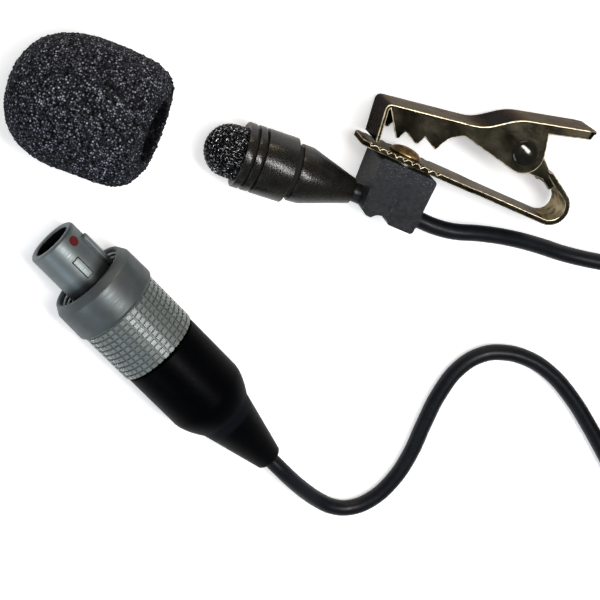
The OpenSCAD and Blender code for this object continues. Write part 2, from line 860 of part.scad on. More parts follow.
// Split ring in front of the nut's lip
module retaining_ring() {
    ring_r = thread_r - 0.15;
    x = lip_x - face_gap - ring_t;
    color("#8b8f8d")
        on_plug()
        difference() {
            bar(ring_r, x, x + ring_t, core_r + press_gap);
            translate([x - 1, -0.6, 0]) cube([ring_t + 2, 1.2, nut_r]);
        }
}

module back_shell() {
    color("#8f9592")
        on_plug()
        bar(core_r, flange_x + flange_t, back_end_x, core_bore);
}

// Split collet that grips the jacket inside the boot
module cord_collet() {
    x = back_end_x + 0.1;
    color("#b5a36c")
        on_plug()
        difference() {
            turned([[cord_r + press_gap, x], [core_bore, x], [core_bore - 0.6, x + collet_len],
                [cord_r + press_gap, x + collet_len]]);
            translate([x - 1, -0.2, 0]) cube([collet_len + 2, 0.4, core_r]);
        }
}

module plug_cord_end() {
    jacket_x = back_end_x - 2;
    color("#15161a") on_plug() bar(cord_r, jacket_x, tail_end_x);
    color("#b9a25c")
        on_plug()
        contact_places() bar(0.3, flange_x + 1.2, jacket_x - eps);
}

module boot() {
    front_r = boot_r;
    round_off = curve([boot_r, shoulder_x - 0.3], [boot_r - 0.1, shoulder_x + 1.1],
        [tail_d / 2, tail_x], 6);
    color("#1c1e22")
        on_plug()
        difference() {
            turned(concat([[0, boot_x], [front_r - 0.3, boot_x], [front_r, boot_x + 0.3]],
                round_off, [[tail_end_d / 2, tail_end_x - 0.3], [tail_end_d / 2 - 0.3, tail_end_x],
                [0, tail_end_x]]));
            bar(core_r + press_gap, boot_x - eps, back_end_x);
            bar(core_bore + press_gap, back_end_x - eps, back_end_x + collet_len + 0.2);
            bar(cord_r + press_gap, back_end_x, tail_end_x + eps);
        }
}

// Cord

// Where the plug's tail and the neck sleeve let the cord out, from the nose tip
sleeve_exit = let (c = cos(clip_angle), s = sin(clip_angle))
    [clip_origin[0] + sleeve_end_x * c - neck_y * s,
     clip_origin[1] + sleeve_end_x * s + neck_y * c, axis_z];
sleeve_dir = [cos(clip_angle), sin(clip_angle), 0];
plug_dir = [cos(plug_angle) * cos(plug_pitch), sin(plug_angle) * cos(plug_pitch),
    -sin(plug_pitch)];
tail_exit = [plug_mouth[0], plug_mouth[1], mouth_z] + tail_end_x * plug_dir;

// Coil: in on the first layer, out on the second, in and out again, then down its outside.
// The spiral goes on for a quarter turn past each reversal and comes back, as it climbs.
coil_total = coil_loops - drop_turns;
coil_turns = (coil_total - 1.5) / 4;
coil_leg = coil_turns + 0.5;
function zigzag(t) =
    let (leg = floor((t + 0.25) / coil_leg), s = t + 0.25 - leg * coil_leg)
    leg % 2 == 0 ? s - 0.25 : coil_leg - s - 0.25;
function climb(t) =
    let (leg = floor(t / coil_leg), s = (t - leg * coil_leg - coil_turns) / 0.5)
    leg + max(0, min(1, s));
function ease(s) = let (c = max(0, min(1, s))) c * c * (3 - 2 * c);
function coil_point(t) =
    let (drop = max(0, t - coil_total) / drop_turns,
        inside = min(t, coil_total),
        r = coil_outer - coil_pitch * zigzag(inside) + drop_out * ease(2.4 * drop),
        top = cord_r + layer_pitch * climb(inside),
        z = top + (cord_r - top) * ease((drop - 0.18) / 0.82),
        a = coil_start - 360 * t)
    [coil_middle[0] + r * cos(a), coil_middle[1] + r * sin(a), drop > 0 ? z : top];
coil_count = coil_loops * coil_steps;
coil_turn_points = [for (i = [0:coil_count]) coil_point(i / coil_steps)];
coil_in = unit(coil_point(0.01) - coil_point(0));
coil_out = unit(coil_point(coil_loops) - coil_point(coil_loops - 0.01));
coil_path = concat([coil_turn_points[0] - cord_d * coil_in], coil_turn_points,
    [coil_turn_points[coil_count] + cord_d * coil_out]);

mic_path = concat([sleeve_exit, sleeve_exit + cord_d * sleeve_dir], mic_route,
    [coil_path[0] - cord_d * coil_in, coil_path[0]]);
plug_path = concat([tail_exit, tail_exit + cord_d * plug_dir], plug_route,
    [coil_path[len(coil_path) - 1] + cord_d * coil_out, coil_path[len(coil_path) - 1]]);

// Least gap between turns, on points half a turn or more apart along the cord
function path_length(path) =
    let (steps = [for (i = [1:len(path) - 1]) norm(path[i] - path[i - 1])])
    steps * [for (s = steps) 1];
coil_gap = min([for (i = [0:coil_count], j = [i + 12:1:min(coil_count, i + 60)])
    norm(coil_turn_points[i] - coil_turn_points[j])]) - cord_d;
coil_gap_far = min([for (i = [0:2:coil_count], j = [i + 60:1:coil_count])
    norm(coil_turn_points[i] - coil_turn_points[j])]) - cord_d;
echo(coil_gap = min(coil_gap, coil_gap_far));
echo(mic_run = path_length(mic_path), coil = path_length(coil_path),
    plug_run = path_length(plug_path));
echo(cord_length = path_length(mic_path) + path_length(coil_path) + path_length(plug_path));

module cord_mic_run() {
    color("#17181c") on_table() tube(mic_path, cord_r, run_sides);
}

module cord_coil() {
    color("#17181c") on_table() tube(coil_path, cord_r, coil_sides);
}

module cord_plug_run() {
    color("#17181c") on_table() tube(plug_path, cord_r, run_sides);
}

mesh_dome();
grille_collar();
head_body();
rear_cone();
capsule();
capsule_gasket();
head_board();
mic_cord_end();
neck_sleeve();
holder_block();
rivet_washer();
clip_rivet();
lower_jaw();
upper_jaw();
pivot_pin();
torsion_spring();
windscreen();
plug_shell();
key_dot();
plug_insert();
contact_pins();
coupling_nut();
retaining_ring();
back_shell();
cord_collet();
plug_cord_end();
boot();
cord_mic_run();
cord_coil();
cord_plug_run();
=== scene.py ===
"""Dresses the lavalier microphone's frame: its looks, cord, stage and camera."""

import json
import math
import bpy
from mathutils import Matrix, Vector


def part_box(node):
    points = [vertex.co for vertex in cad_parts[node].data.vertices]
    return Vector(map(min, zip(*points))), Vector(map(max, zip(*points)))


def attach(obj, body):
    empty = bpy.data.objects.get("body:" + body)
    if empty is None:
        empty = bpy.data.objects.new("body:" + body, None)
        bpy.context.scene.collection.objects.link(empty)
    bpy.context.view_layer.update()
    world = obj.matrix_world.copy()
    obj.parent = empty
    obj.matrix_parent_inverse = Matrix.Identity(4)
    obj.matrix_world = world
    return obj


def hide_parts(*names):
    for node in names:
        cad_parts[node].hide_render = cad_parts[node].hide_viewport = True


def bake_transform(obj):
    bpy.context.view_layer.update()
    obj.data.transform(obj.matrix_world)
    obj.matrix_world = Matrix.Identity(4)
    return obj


bl_info = {
    "name": "Lavalier Microphone",
    "version": (1, 0, 0),
    "blender": (4, 5, 0),
    "location": "3D View > Sidebar > Lavalier",
    "description": "Dresses a lavalier microphone with its clip, foam, cord and locking plug",
    "category": "Object",
}

import bmesh
import bpy
from bpy.props import FloatProperty, FloatVectorProperty, PointerProperty
from mathutils import Matrix, Vector, noise

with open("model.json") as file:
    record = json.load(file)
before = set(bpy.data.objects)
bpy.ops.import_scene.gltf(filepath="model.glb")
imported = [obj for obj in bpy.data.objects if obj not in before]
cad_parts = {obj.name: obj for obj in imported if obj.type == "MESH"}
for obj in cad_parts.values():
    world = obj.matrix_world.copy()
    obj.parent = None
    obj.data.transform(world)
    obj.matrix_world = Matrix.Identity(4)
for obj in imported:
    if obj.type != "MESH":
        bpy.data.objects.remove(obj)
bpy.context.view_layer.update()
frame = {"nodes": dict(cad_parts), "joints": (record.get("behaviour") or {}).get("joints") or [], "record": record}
JOINTS = {joint["name"]: joint for joint in frame["joints"]}
MM = 0.001

# ---------------------------------------------------------------- places


def place_along(origin, along, up):
    """A matrix whose X runs along one direction and whose Z is as near up as it can be."""
    x = Vector(along).normalized()
    y = Vector(up).cross(x).normalized()
    z = x.cross(y)
    turn = Matrix((x, y, z)).transposed().to_4x4()
    return Matrix.Translation(origin) @ turn


UP = Vector((0, 0, 1))
MOUNTS = {mount["name"]: mount for mount in frame["record"]["mounts"]}

# The head's X runs from its nose to its cone, which ends at this many mm
CONE_END = 18.05
DOME_LOW, DOME_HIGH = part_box("mesh_dome")
NOSE = Vector((DOME_LOW.x, *((DOME_LOW + DOME_HIGH) / 2).yz))
HEAD = Matrix.Translation(NOSE)

# The clip's X runs along its plate, its Y away from the block, from the rivet
RIVET = Vector(JOINTS["holder_swivel"]["pos_m"])
RIVET_AXIS = Vector(JOINTS["holder_swivel"]["axis"]).normalized()
CLIP = place_along(RIVET, RIVET_AXIS.cross(UP), UP)
PIVOT = CLIP.inverted() @ Vector(JOINTS["jaw_open"]["pos_m"])

# The plug's X runs from its mouth to its tail, where the boot ends at this many mm
BOOT_END = 38.1
NUT_JOINT_TO_MOUTH = 8.2 * MM
PLUG_AXIS = Vector(JOINTS["nut_spin"]["axis"]).normalized()
PLUG_MOUTH = Vector(JOINTS["nut_spin"]["pos_m"]) - NUT_JOINT_TO_MOUTH * PLUG_AXIS
PLUG = place_along(PLUG_MOUTH, PLUG_AXIS, UP)


def turned_to(angle):
    """A turn about the plug's X, in degrees, as the part's source counts it."""
    return Matrix.Rotation(math.radians(-angle), 4, "X")


def shifted(x, y, z):
    """A move by that many millimetres."""
    return Matrix.Translation(Vector((x, y, z)) * MM)


def held(part):
    """A number held between 0 and 1."""
    return max(0.0, min(1.0, part))


def eased(part):
    """A smooth step from 0 to 1."""
    part = held(part)
    return part * part * (3 - 2 * part)


# ---------------------------------------------------------------- settings


def length(name, description, default):
    """A property that holds a length in metres."""
    return FloatProperty(
        name=name, description=description, default=default, unit="LENGTH", precision=5
    )


def colour(name, description, default):
    """A property that holds a colour."""
    return FloatVectorProperty(
        name=name, description=description, default=default, subtype="COLOR", size=3, min=0, max=1
    )


def share(name, description, default):
    """A property from 0 to 1."""
    return FloatProperty(
        name=name, description=description, default=default, subtype="FACTOR", min=0, max=1
    )


class HeadSettings(bpy.types.PropertyGroup):
    """Sizes and finish of the microphone's head."""

    wire_pitch: length("Wire pitch", "Distance between the dome's wires", 0.50 * MM)
    wire_width: length("Wire width", "Thickness of the dome's wires", 0.23 * MM)
    edge_round: length("Edge rounding", "Rounding of the turned edges", 0.07 * MM)
    metal: colour("Metal", "Satin black of the turned metal", (0.0075, 0.008, 0.009))
    roughness: share("Roughness", "Roughness of the turned metal", 0.34)


class FoamSettings(bpy.types.PropertyGroup):
    """Sizes and finish of the foam windscreen."""

    cell: length("Cell", "Size of the foam's cells", 0.46 * MM)
    depth: length("Depth", "Depth of the cells at the surface", 0.26 * MM)
    foam: colour("Foam", "Colour of the foam", (0.010, 0.0105, 0.0135))
    # Painted glints: the colour painted on the cut strands, where they would catch the light
    painted_glint: colour("Glint", "Colour of the cut strands that catch the light", (0.62, 0.65, 0.80))


class ClipSettings(bpy.types.PropertyGroup):
    """Sizes and finish of the clip and its holder block."""

    edge_round: length("Edge rounding", "Rounding of the stamped edges", 0.10 * MM)
    plating: colour("Plating", "Dark plating of the clip", (0.025, 0.0225, 0.0155))
    # Pale colour of the worn edges, which are partly a painted edge highlight
    worn: colour("Worn edge", "Colour of the plating where it is worn", (0.95, 0.82, 0.55))
    plating_roughness: share("Plating roughness", "Roughness of the plating", 0.18)
    brass: colour("Brass", "Metal of the rivet", (0.62, 0.40, 0.17))
    spring: colour("Spring", "Metal of the spring", (0.30, 0.27, 0.23))
    block: colour("Block", "Rubber of the holder block", (0.013, 0.014, 0.017))
    block_round: length("Block rounding", "Rounding of the block's edges", 0.22 * MM)
    grain: length("Grain", "Size of the block's grain", 0.17 * MM)


class PlugSettings(bpy.types.PropertyGroup):
    """Sizes and finish of the plug and its boot."""

    edge_round: length("Edge rounding", "Rounding of the turned edges", 0.10 * MM)
    metal: colour("Metal", "Satin metal of the shell and the nut", (0.22, 0.244, 0.24))
    roughness: share("Roughness", "Roughness of the metal", 0.46)
    dot: colour("Dot", "Colour of the alignment dot", (0.12, 0.005, 0.003))
    boot: colour("Boot", "Colour of the boot", (0.0007, 0.0009, 0.0014))
    thread_pitch: length("Thread pitch", "Pitch of the thread in the nut", 0.5 * MM)


class CordSettings(bpy.types.PropertyGroup):
    """Finish of the cord."""

    jacket: colour("Jacket", "Colour of the cord's jacket", (0.0062, 0.0072, 0.0098))
    roughness: share("Roughness", "Roughness of the cord's jacket", 0.36)


class StageSettings(bpy.types.PropertyGroup):
    """Floor, lamps and camera."""

    floor: colour("Floor", "Colour of the floor", (0.9, 0.9, 0.9))
    focal: FloatProperty(
        name="Focal length", description="Focal length of the camera", default=102, unit="CAMERA"
    )


GROUPS = {
    "lavalier_head": HeadSettings,
    "lavalier_foam": FoamSettings,
    "lavalier_clip": ClipSettings,
    "lavalier_plug": PlugSettings,
    "lavalier_cord": CordSettings,
    "lavalier_stage": StageSettings,
}

# ---------------------------------------------------------------- materials

# Names the mark on the clip's rounded edges: partly real wear, partly painted highlight
WORN_AND_LIT_EDGE = "worn_and_lit_edge"
# Stretches a grain into rings round X, as turning leaves them
TURNED = (1, 0.06, 0.06)


def scaled(tint, factor):
    """A colour, lighter or darker."""
    return tuple(min(1.0, part * factor) for part in tint)


class Nodes:
    """A node tree that grows node by node."""

    def __init__(self, tree):
        self.tree = tree

    def add(self, kind, settings=None, **inputs):
        """A new node, with its inputs set or linked."""
        made = self.tree.nodes.new("ShaderNode" + kind)
        for name, value in (settings or {}).items():
            setattr(made, name, value)
        for name, value in inputs.items():
            self.feed(made.inputs[name.replace("_", " ")], value)
        return made

    def feed(self, socket, value):
        """Sets a socket, or links it where the value is a socket."""
        if isinstance(value, bpy.types.NodeSocket):
            self.tree.links.new(value, socket)
        else:
            socket.default_value = value

    def math(self, operation, first, second=0.0):
        """One step of arithmetic."""
        made = self.add("Math", {"operation": operation})
        self.feed(made.inputs[0], first)
        self.feed(made.inputs[1], second)
        return made.outputs[0]

    def times(self, first, *others):
        """The product of some values."""
        for other in others:
            first = self.math("MULTIPLY", first, other)
        return first

    def between(self, value, start, end, low=0.0, high=1.0, kind="LINEAR"):
        """A number that goes from low to high as the value goes from start to end."""
        made = self.add(
            "MapRange",
            {"interpolation_type": kind},
            Value=value,
            From_Min=start,
            From_Max=end,
            To_Min=low,
            To_Max=high,
        )
        return made.outputs[0]

    def rays(self):
        """Whether a ray sees the surface, plainly or through glass, and whether it mirrors it."""
        path = self.add("LightPath").outputs
        seen = self.math("MAXIMUM", path["Is Camera Ray"], path["Is Transmission Ray"])
        return seen, path["Is Glossy Ray"]


class Finish(Nodes):
    """A material that grows from its shader backwards."""

    def __init__(self, name, base, roughness, **sockets):
        self.material = bpy.data.materials.new(name)
        self.material.use_nodes = True
        self.material.diffuse_color = (*base, 1)
        super().__init__(self.material.node_tree)
        self.shader = self.tree.nodes["Principled BSDF"]
        for socket, value in {"Base_Color": (*base, 1), "Roughness": roughness, **sockets}.items():
            self.set(socket.replace("_", " "), value)
        self.place = self.add("TexCoord").outputs["Object"]
        self.normal = None

    def set(self, socket, value):
        """Sets or links one of the shader's sockets."""
        self.feed(self.shader.inputs[socket], value)

    def mapped(self, place, stretch=(1, 1, 1)):
        """Object coordinates, seen from a place of their own."""
        back = place.to_3x3().transposed()
        shift = -(back @ place.translation)
        moved = self.add("Mapping", Vector=self.place, Location=shift, Rotation=back.to_euler())
        return self.add("Mapping", Vector=moved.outputs[0], Scale=stretch).outputs[0]

    def local(self, place):
        """The X, Y and Z of a point, seen from a place of their own."""
        return self.add("SeparateXYZ", Vector=self.mapped(place)).outputs

    def grain(self, size, detail=3.0, place=None):
        """Noise whose grain has that size in metres."""
        where = self.place if place is None else place
        return self.add("TexNoise", Vector=where, Scale=1 / size, Detail=detail).outputs[0]

    def cells(self, size):
        """The distances and colours of cells that have that size in metres."""
        return self.add("TexVoronoi", {"feature": "F1"}, Vector=self.place, Scale=1 / size).outputs

    def ramp(self, value, *stops):
        """Colours or greys along a value, from (position, colour) stops."""
        made = self.add("ValToRGB", Fac=value)
        elements = made.color_ramp.elements
        while len(elements) < len(stops):
            elements.new(0.5)
        for element, (position, tint) in zip(elements, stops):
            element.position = position
            element.color = (*tint, 1) if hasattr(tint, "__len__") else (tint, tint, tint, 1)
        return made.outputs["Color"]

    def tones(self, value, tint, *stops):
        """Tones of one colour along a value, from (position, brightness) stops."""
        return self.ramp(value, *((position, scaled(tint, tone)) for position, tone in stops))

    def mix(self, factor, low, high):
        """A mix of two colours."""
        made = self.add("Mix", {"data_type": "RGBA"})
        for index, value in ((0, factor), (6, low), (7, high)):
            if hasattr(value, "__len__") and not isinstance(value, bpy.types.NodeSocket):
                value = (*value, 1)
            self.feed(made.inputs[index], value)
        return made.outputs[2]

    def paint(self, value, *stops):
        """Colours the surface along a value."""
        self.set("Base Color", self.ramp(value, *stops))

    def shade(self, value, tint, *stops):
        """Gives the surface tones of one colour along a value."""
        self.set("Base Color", self.tones(value, tint, *stops))

    def polish(self, value, *stops):
        """Changes the roughness along a value."""
        self.set("Roughness", self.ramp(value, *stops))

    def bump(self, height, distance, strength=1.0):
        """Adds a relief of that depth to the surface."""
        made = self.add("Bump", Height=height, Distance=distance, Strength=strength)
        if self.normal is not None:
            self.feed(made.inputs["Normal"], self.normal)
        self.normal = made.outputs[0]
        self.set("Normal", self.normal)


def satin_black(settings):
    """Bead-blasted and blackened metal, with turning marks and a fine sparkle."""
    metal, brownish = settings.metal, (0.012, 0.0105, 0.0075)
    finish = Finish("satin black metal", metal, settings.roughness, Specular_IOR_Level=0.46)
    low, high = (0.3, scaled(metal, 0.7)), (0.75, scaled(metal, 1.6))
    finish.paint(finish.grain(1.4 * MM, 4.0), low, (0.55, brownish), high)
    blast = finish.grain(0.15 * MM, 1.0)
    finish.polish(blast, (0.38, 0.14), (0.62, 0.34))
    finish.bump(finish.grain(0.16 * MM, 1.0, finish.mapped(HEAD, TURNED)), 0.016 * MM)
    finish.bump(blast, 0.014 * MM)
    return finish.material


def blackened_wire():
    """Wire of the dome, dark with painted bright glints."""
    finish = Finish("blackened wire", (0.012, 0.012, 0.014), 0.24, Metallic=0.8)
    dark, painted_glint = (0.006, 0.006, 0.007), (0.42, 0.42, 0.46)
    finish.paint(finish.grain(0.3 * MM, 2.0), (0.54, dark), (0.66, painted_glint))
    finish.bump(finish.grain(0.12 * MM, 1.0), 0.02 * MM, 0.6)
    return finish.material


def deep_black(name):
    """Painted shade: near-black for the dark behind a mesh, in a groove and in a gap."""
    finish = Finish(name, (0.004, 0.004, 0.004), 0.85)
    finish.paint(finish.grain(0.4 * MM), (0.3, 0.002), (0.8, 0.008))
    return finish.material


def foam_black(settings, place):
    """Open-cell foam with painted glints on its cut strands, painted shade where its cells dip, and painted shade
    in its bore.
    """
    foam, bore_rim, bore_floor = settings.foam, (3.5 * MM, 4.0 * MM), -2.7 * MM
    finish = Finish("open-cell foam", foam, 0.8, Specular_IOR_Level=0.06)
    depth = finish.cells(settings.cell)["Distance"]
    strands = finish.cells(settings.cell * 0.52)
    # Painted shade: the colour darkens where the cells' bump dips and pales where it rises
    body = finish.tones(depth, foam, (0.0, 2.2), (0.4, 1.0), (0.75, 0.15))
    # Painted glints: bright specks painted on some strands, where they would catch the light
    chance = finish.add("SeparateColor", Color=strands["Color"]).outputs[0]
    bright = finish.ramp(chance, (0.1, 0.0), (0.5, 0.14), (0.8, 0.36), (1.0, 0.9))
    near = finish.ramp(strands["Distance"], (0.2, 1.0), (0.55, 0.0))
    patch = finish.ramp(finish.grain(3 * MM, 2.0), (0.3, 0.65), (0.7, 1.0))
    lit = finish.mix(finish.times(bright, near, patch), body, settings.painted_glint)
    # Painted shade: the foam turns near-black inside the bore
    x, y, z = finish.local(place)
    reach = finish.math("SQRT", finish.math("ADD", finish.times(y, y), finish.times(z, z)))
    inner = finish.between(reach, *bore_rim, 1.0, 0.0)
    inner = finish.times(inner, finish.math("GREATER_THAN", x, bore_floor))
    finish.set("Base Color", finish.mix(inner, lit, scaled(foam, 0.12)))
    finish.bump(depth, -0.14 * MM)
    finish.polish(chance, (0.0, 0.6), (1.0, 0.9))
    return finish.material


def dark_plating(settings):
    """Dark nickel plating, brownish, with bright edges that are partly worn and partly painted highlight."""
    finish = Finish(
        "dark plating",
        settings.plating,
        settings.plating_roughness,
        Metallic=0.9,
        Specular_Tint=(0.30, 0.24, 0.17, 1),
    )
    cloud = finish.grain(2.4 * MM, 4.0)
    tint = finish.tones(cloud, settings.plating, (0.3, 0.6), (0.55, 1.0), (0.78, 1.5))
    # The pale edge colour is partly wear and partly a painted highlight along the rounded edges
    edge = finish.add("Attribute", {"attribute_name": WORN_AND_LIT_EDGE}).outputs["Fac"]
    wear_and_sheen = finish.ramp(finish.grain(0.8 * MM, 4.0), (0.35, 0.3), (0.55, 1.0))
    worn = finish.times(edge, wear_and_sheen)
    finish.set("Base Color", finish.mix(worn, tint, settings.worn))
    smooth = finish.ramp(cloud, (0.3, 0.13), (0.7, 0.26))
    finish.set("Roughness", finish.mix(worn, smooth, (0.42, 0.42, 0.42)))
    finish.bump(finish.grain(0.5 * MM), 0.012 * MM, 0.6)
    return finish.material


def pin_black(settings):
    """Polished black of the pin's domed heads."""
    tint = settings.plating
    finish = Finish("pin black", scaled(tint, 0.6), 0.1, Metallic=0.4, Specular_IOR_Level=0.9)
    cloud = finish.grain(0.8 * MM)
    finish.shade(cloud, tint, (0.3, 0.4), (0.7, 0.9))
    finish.polish(cloud, (0.3, 0.07), (0.7, 0.14))
    finish.bump(cloud, 0.004 * MM, 0.5)
    return finish.material


def worn_brass(settings):
    """Brass with a brown patina."""
    finish = Finish("worn brass", settings.brass, 0.3, Metallic=0.75)
    stain = finish.grain(0.7 * MM, 5.0)
    finish.shade(stain, settings.brass, (0.35, 0.45), (0.6, 1.3))
    finish.polish(stain, (0.3, 0.45), (0.7, 0.22))
    finish.bump(stain, 0.02 * MM, 0.5)
    return finish.material


def spring_steel(settings):
    """Drawn steel wire."""
    finish = Finish("spring steel", settings.spring, 0.28, Metallic=1.0)
    drawn = finish.grain(0.25 * MM)
    finish.polish(drawn, (0.3, 0.2), (0.7, 0.42))
    finish.bump(drawn, 0.004 * MM, 0.5)
    return finish.material


def grained_rubber(settings):
    """Moulded rubber with a coarse grain, a wavy seam and painted glints in the grain, strongest near the clip."""
    seam_place, seam_sway, seam_width = 0.35 * MM, 3.2 * MM, 0.16 * MM
    painted_glint_tint, seam_tint = (0.16, 0.18, 0.22), (0.09, 0.10, 0.11)
    finish = Finish("grained rubber", settings.block, 0.42, Specular_IOR_Level=0.2)
    grain = finish.grain(settings.grain, 2.0)
    coarse = finish.grain(settings.grain * 3.2, 2.0)
    x, y, _ = finish.local(CLIP)
    # Painted glints: bright specks in the grain, fading away from the clip
    glint_side = finish.between(y, -3.2 * MM, -0.6 * MM, high=0.75)
    painted_glint = finish.times(finish.ramp(grain, (0.58, 0.0), (0.68, 1.0)), glint_side)
    tint = finish.tones(coarse, settings.block, (0.3, 0.6), (0.75, 1.8))
    body = finish.mix(painted_glint, tint, painted_glint_tint)
    finish.polish(grain, (0.3, 0.26), (0.7, 0.6))
    finish.bump(grain, 0.07 * MM)
    finish.bump(coarse, 0.05 * MM, 0.5)
    bend = finish.times(finish.math("SUBTRACT", finish.grain(1.6 * MM), 0.5), seam_sway)
    off = finish.math("SUBTRACT", finish.math("ADD", x, bend), seam_place)
    away = finish.math("DIVIDE", finish.math("ABSOLUTE", off), seam_width)
    seam = finish.ramp(away, (0.3, 1.0), (1.0, 0.0))
    finish.set("Base Color", finish.mix(finish.times(seam, 0.22), body, seam_tint))
    finish.bump(seam, 0.08 * MM)
    return finish.material


def satin_metal(settings, name="satin metal", lift=1.0, knurl_from=None, root_shade_from=None):
    """Satin plated metal with turning marks, paler on a knurl, with painted shade where it goes under the nut."""
    metal = settings.metal
    finish = Finish(name, metal, settings.roughness, Metallic=0.75)
    marks = finish.grain(0.16 * MM, place=finish.mapped(PLUG, TURNED))
    cold = (metal[0], metal[1] * 1.05, metal[2] * 1.12)
    low, high = (0.3, scaled(metal, 0.85 * lift)), (0.7, scaled(cold, lift))
    tint = finish.ramp(finish.grain(2.1 * MM, 4.0), low, high)
    along = finish.local(PLUG)["X"]
    # Painted shade: darker towards the nut's mouth, where the nut shades the barrel
    if root_shade_from is not None:
        root_shade = finish.between(along, root_shade_from, root_shade_from + 1.3 * MM, high=0.92)
        tint = finish.mix(root_shade, tint, scaled(metal, 0.06))
    if knurl_from is not None:
        behind = finish.math("GREATER_THAN", along, knurl_from)
        tint = finish.mix(behind, tint, scaled(metal, 1.2))
    finish.set("Base Color", tint)
    finish.polish(marks, (0.3, 0.40), (0.7, 0.54))
    finish.bump(marks, 0.003 * MM, 0.6)
    return finish.material


def bore_metal(settings):
    """Painted shade: the plug's metal, darkened as it lies in the shadow of the bore."""
    base = scaled(settings.metal, 0.04)
    finish = Finish("bore metal", base, 0.55, Metallic=0.3, Specular_IOR_Level=0.1)
    marks = finish.grain(0.3 * MM, 2.0, finish.mapped(PLUG, (1, 0.1, 0.1)))
    finish.shade(marks, (0.006, 0.011, 0.008), (0.3, 0.4), (0.8, 1.0))
    return finish.material


def boot_plastic(settings):
    """Black moulded plastic, a little duller on the band behind the shoulder."""
    boot, whole = settings.boot, 40 * MM
    finish = Finish("boot plastic", boot, 0.3, Specular_IOR_Level=0.03)
    along = finish.math("DIVIDE", finish.local(PLUG)["X"], whole)
    band = finish.ramp(along, (0.715, 0.0), (0.735, 1.0), (0.768, 1.0), (0.774, 0.0))
    tint = finish.tones(finish.grain(2.2 * MM), boot, (0.3, 0.7), (0.7, 1.4))
    finish.set("Base Color", finish.mix(band, tint, scaled(boot, 6.0)))
    fine = finish.grain(0.22 * MM)
    plain = finish.ramp(fine, (0.3, 0.3), (0.7, 0.46))
    finish.set("Roughness", finish.mix(band, plain, (0.5, 0.5, 0.5)))
    finish.bump(fine, 0.008 * MM, 0.6)
    return finish.material


def moulded(name, tint, roughness, grain=0.3 * MM, depth=0.006 * MM, **sockets):
    """Moulded plastic or rubber with a faint grain."""
    finish = Finish(name, tint, roughness, **sockets)
    finish.shade(finish.grain(grain * 6), tint, (0.3, 0.85), (0.7, 1.2))
    fine = finish.grain(grain)
    finish.polish(fine, (0.3, roughness * 0.8), (0.7, min(1.0, roughness * 1.2)))
    finish.bump(fine, depth, 0.6)
    return finish.material


def bright_metal(name, tint, roughness):
    """Plain bright metal of the inner pieces, and of the thread, whose brightness is painted light."""
    finish = Finish(name, tint, roughness, Metallic=1.0)
    cloud = finish.grain(0.6 * MM)
    finish.polish(cloud, (0.3, roughness * 0.7), (0.7, roughness * 1.3))
    finish.shade(cloud, tint, (0.3, 0.9), (0.7, 1.1))
    return finish.material


# ---------------------------------------------------------------- making pieces


def new_object(name, data):
    """A new object in the scene."""
    made = bpy.data.objects.new(name, data)
    bpy.context.scene.collection.objects.link(made)
    return made


def turned_solid(outline, steps=96):
    """A mesh turned round X from points (x, radius) in millimetres."""
    solid = bmesh.new()
    ring = [solid.verts.new(Vector((x, 0, radius)) * MM) for x, radius in outline]
    edges = [solid.edges.new(pair) for pair in zip(ring, ring[1:])]
    if outline[0][1] > 0 or outline[-1][1] > 0:
        edges.append(solid.edges.new((ring[-1], ring[0])))
    bmesh.ops.spin(
        solid,
        geom=ring + edges,
        cent=(0, 0, 0),
        axis=(1, 0, 0),
        angle=2 * math.pi,
        steps=steps,
        use_merge=True,
    )
    bmesh.ops.remove_doubles(solid, verts=solid.verts, dist=0.0005 * MM)
    bmesh.ops.recalc_face_normals(solid, faces=solid.faces)
    return solid


def thin_ring(start, end, first, second):
    """A thin ring round X between two places and two radii, in millimetres."""
    return turned_solid([(start, first), (start, second), (end, second), (end, first)])


def soften(solid, width, segments=3, angle=28, worn=0, clamp=True):
    """Rounds every edge that turns more than an angle, and marks how pale the rounding is, for wear and a painted
    edge highlight.
    """
    limit = math.radians(angle)
    sharp = [
        edge
        for edge in solid.edges
        if len(edge.link_faces) == 2 and edge.calc_face_angle(0) > limit
    ]
    made = bmesh.ops.bevel(
        solid,
        geom=sharp,
        offset=width,
        offset_type="OFFSET",
        segments=segments,
        profile=0.5,
        affect="EDGES",
        clamp_overlap=clamp,
        material=-1,
    )
    if worn:
        layer = solid.loops.layers.float_color.new(WORN_AND_LIT_EDGE)
        rounded = set(made["faces"])
        for face in solid.faces:
            for loop in face.loops:
                loop[layer] = (worn, worn, worn, 1) if face in rounded else (0, 0, 0, 1)
    return solid


def bar(size, place, width=0.0):
    """A block of that size, in metres, with rounded edges."""
    solid = bmesh.new()
    bmesh.ops.create_cube(solid, size=1, matrix=place @ Matrix.Diagonal((*size, 1)))
    if width:
        soften(solid, width)
    return solid


def node_copy(node, merge=0.0004 * MM):
    """A clean copy of a node's mesh, with its flat faces whole."""
    flat = math.radians(0.6)
    solid = bmesh.new()
    solid.from_mesh(frame["nodes"][node].data)
    bmesh.ops.remove_doubles(solid, verts=solid.verts, dist=merge)
    bmesh.ops.dissolve_limit(solid, angle_limit=flat, verts=solid.verts, edges=solid.edges)
    return solid


def join(target, other):
    """Adds one mesh to another."""
    spare = bpy.data.meshes.new("spare")
    other.to_mesh(spare)
    other.free()
    target.from_mesh(spare)
    bpy.data.meshes.remove(spare)
    return target


def finish_piece(name, solid, material, body, stands_for=(), place=None, smooth=32):
    """Makes an object of a mesh, and gives it its body, its slot and what it stands for."""
    if place is not None:
        bmesh.ops.transform(solid, matrix=place, verts=solid.verts)
    mesh = bpy.data.meshes.new(name)
    solid.to_mesh(mesh)
    solid.free()
    mesh.shade_smooth()
    mesh.set_sharp_from_angle(angle=math.radians(smooth))
    mesh.materials.append(material)
    return settle(new_object(name, mesh), body, stands_for)


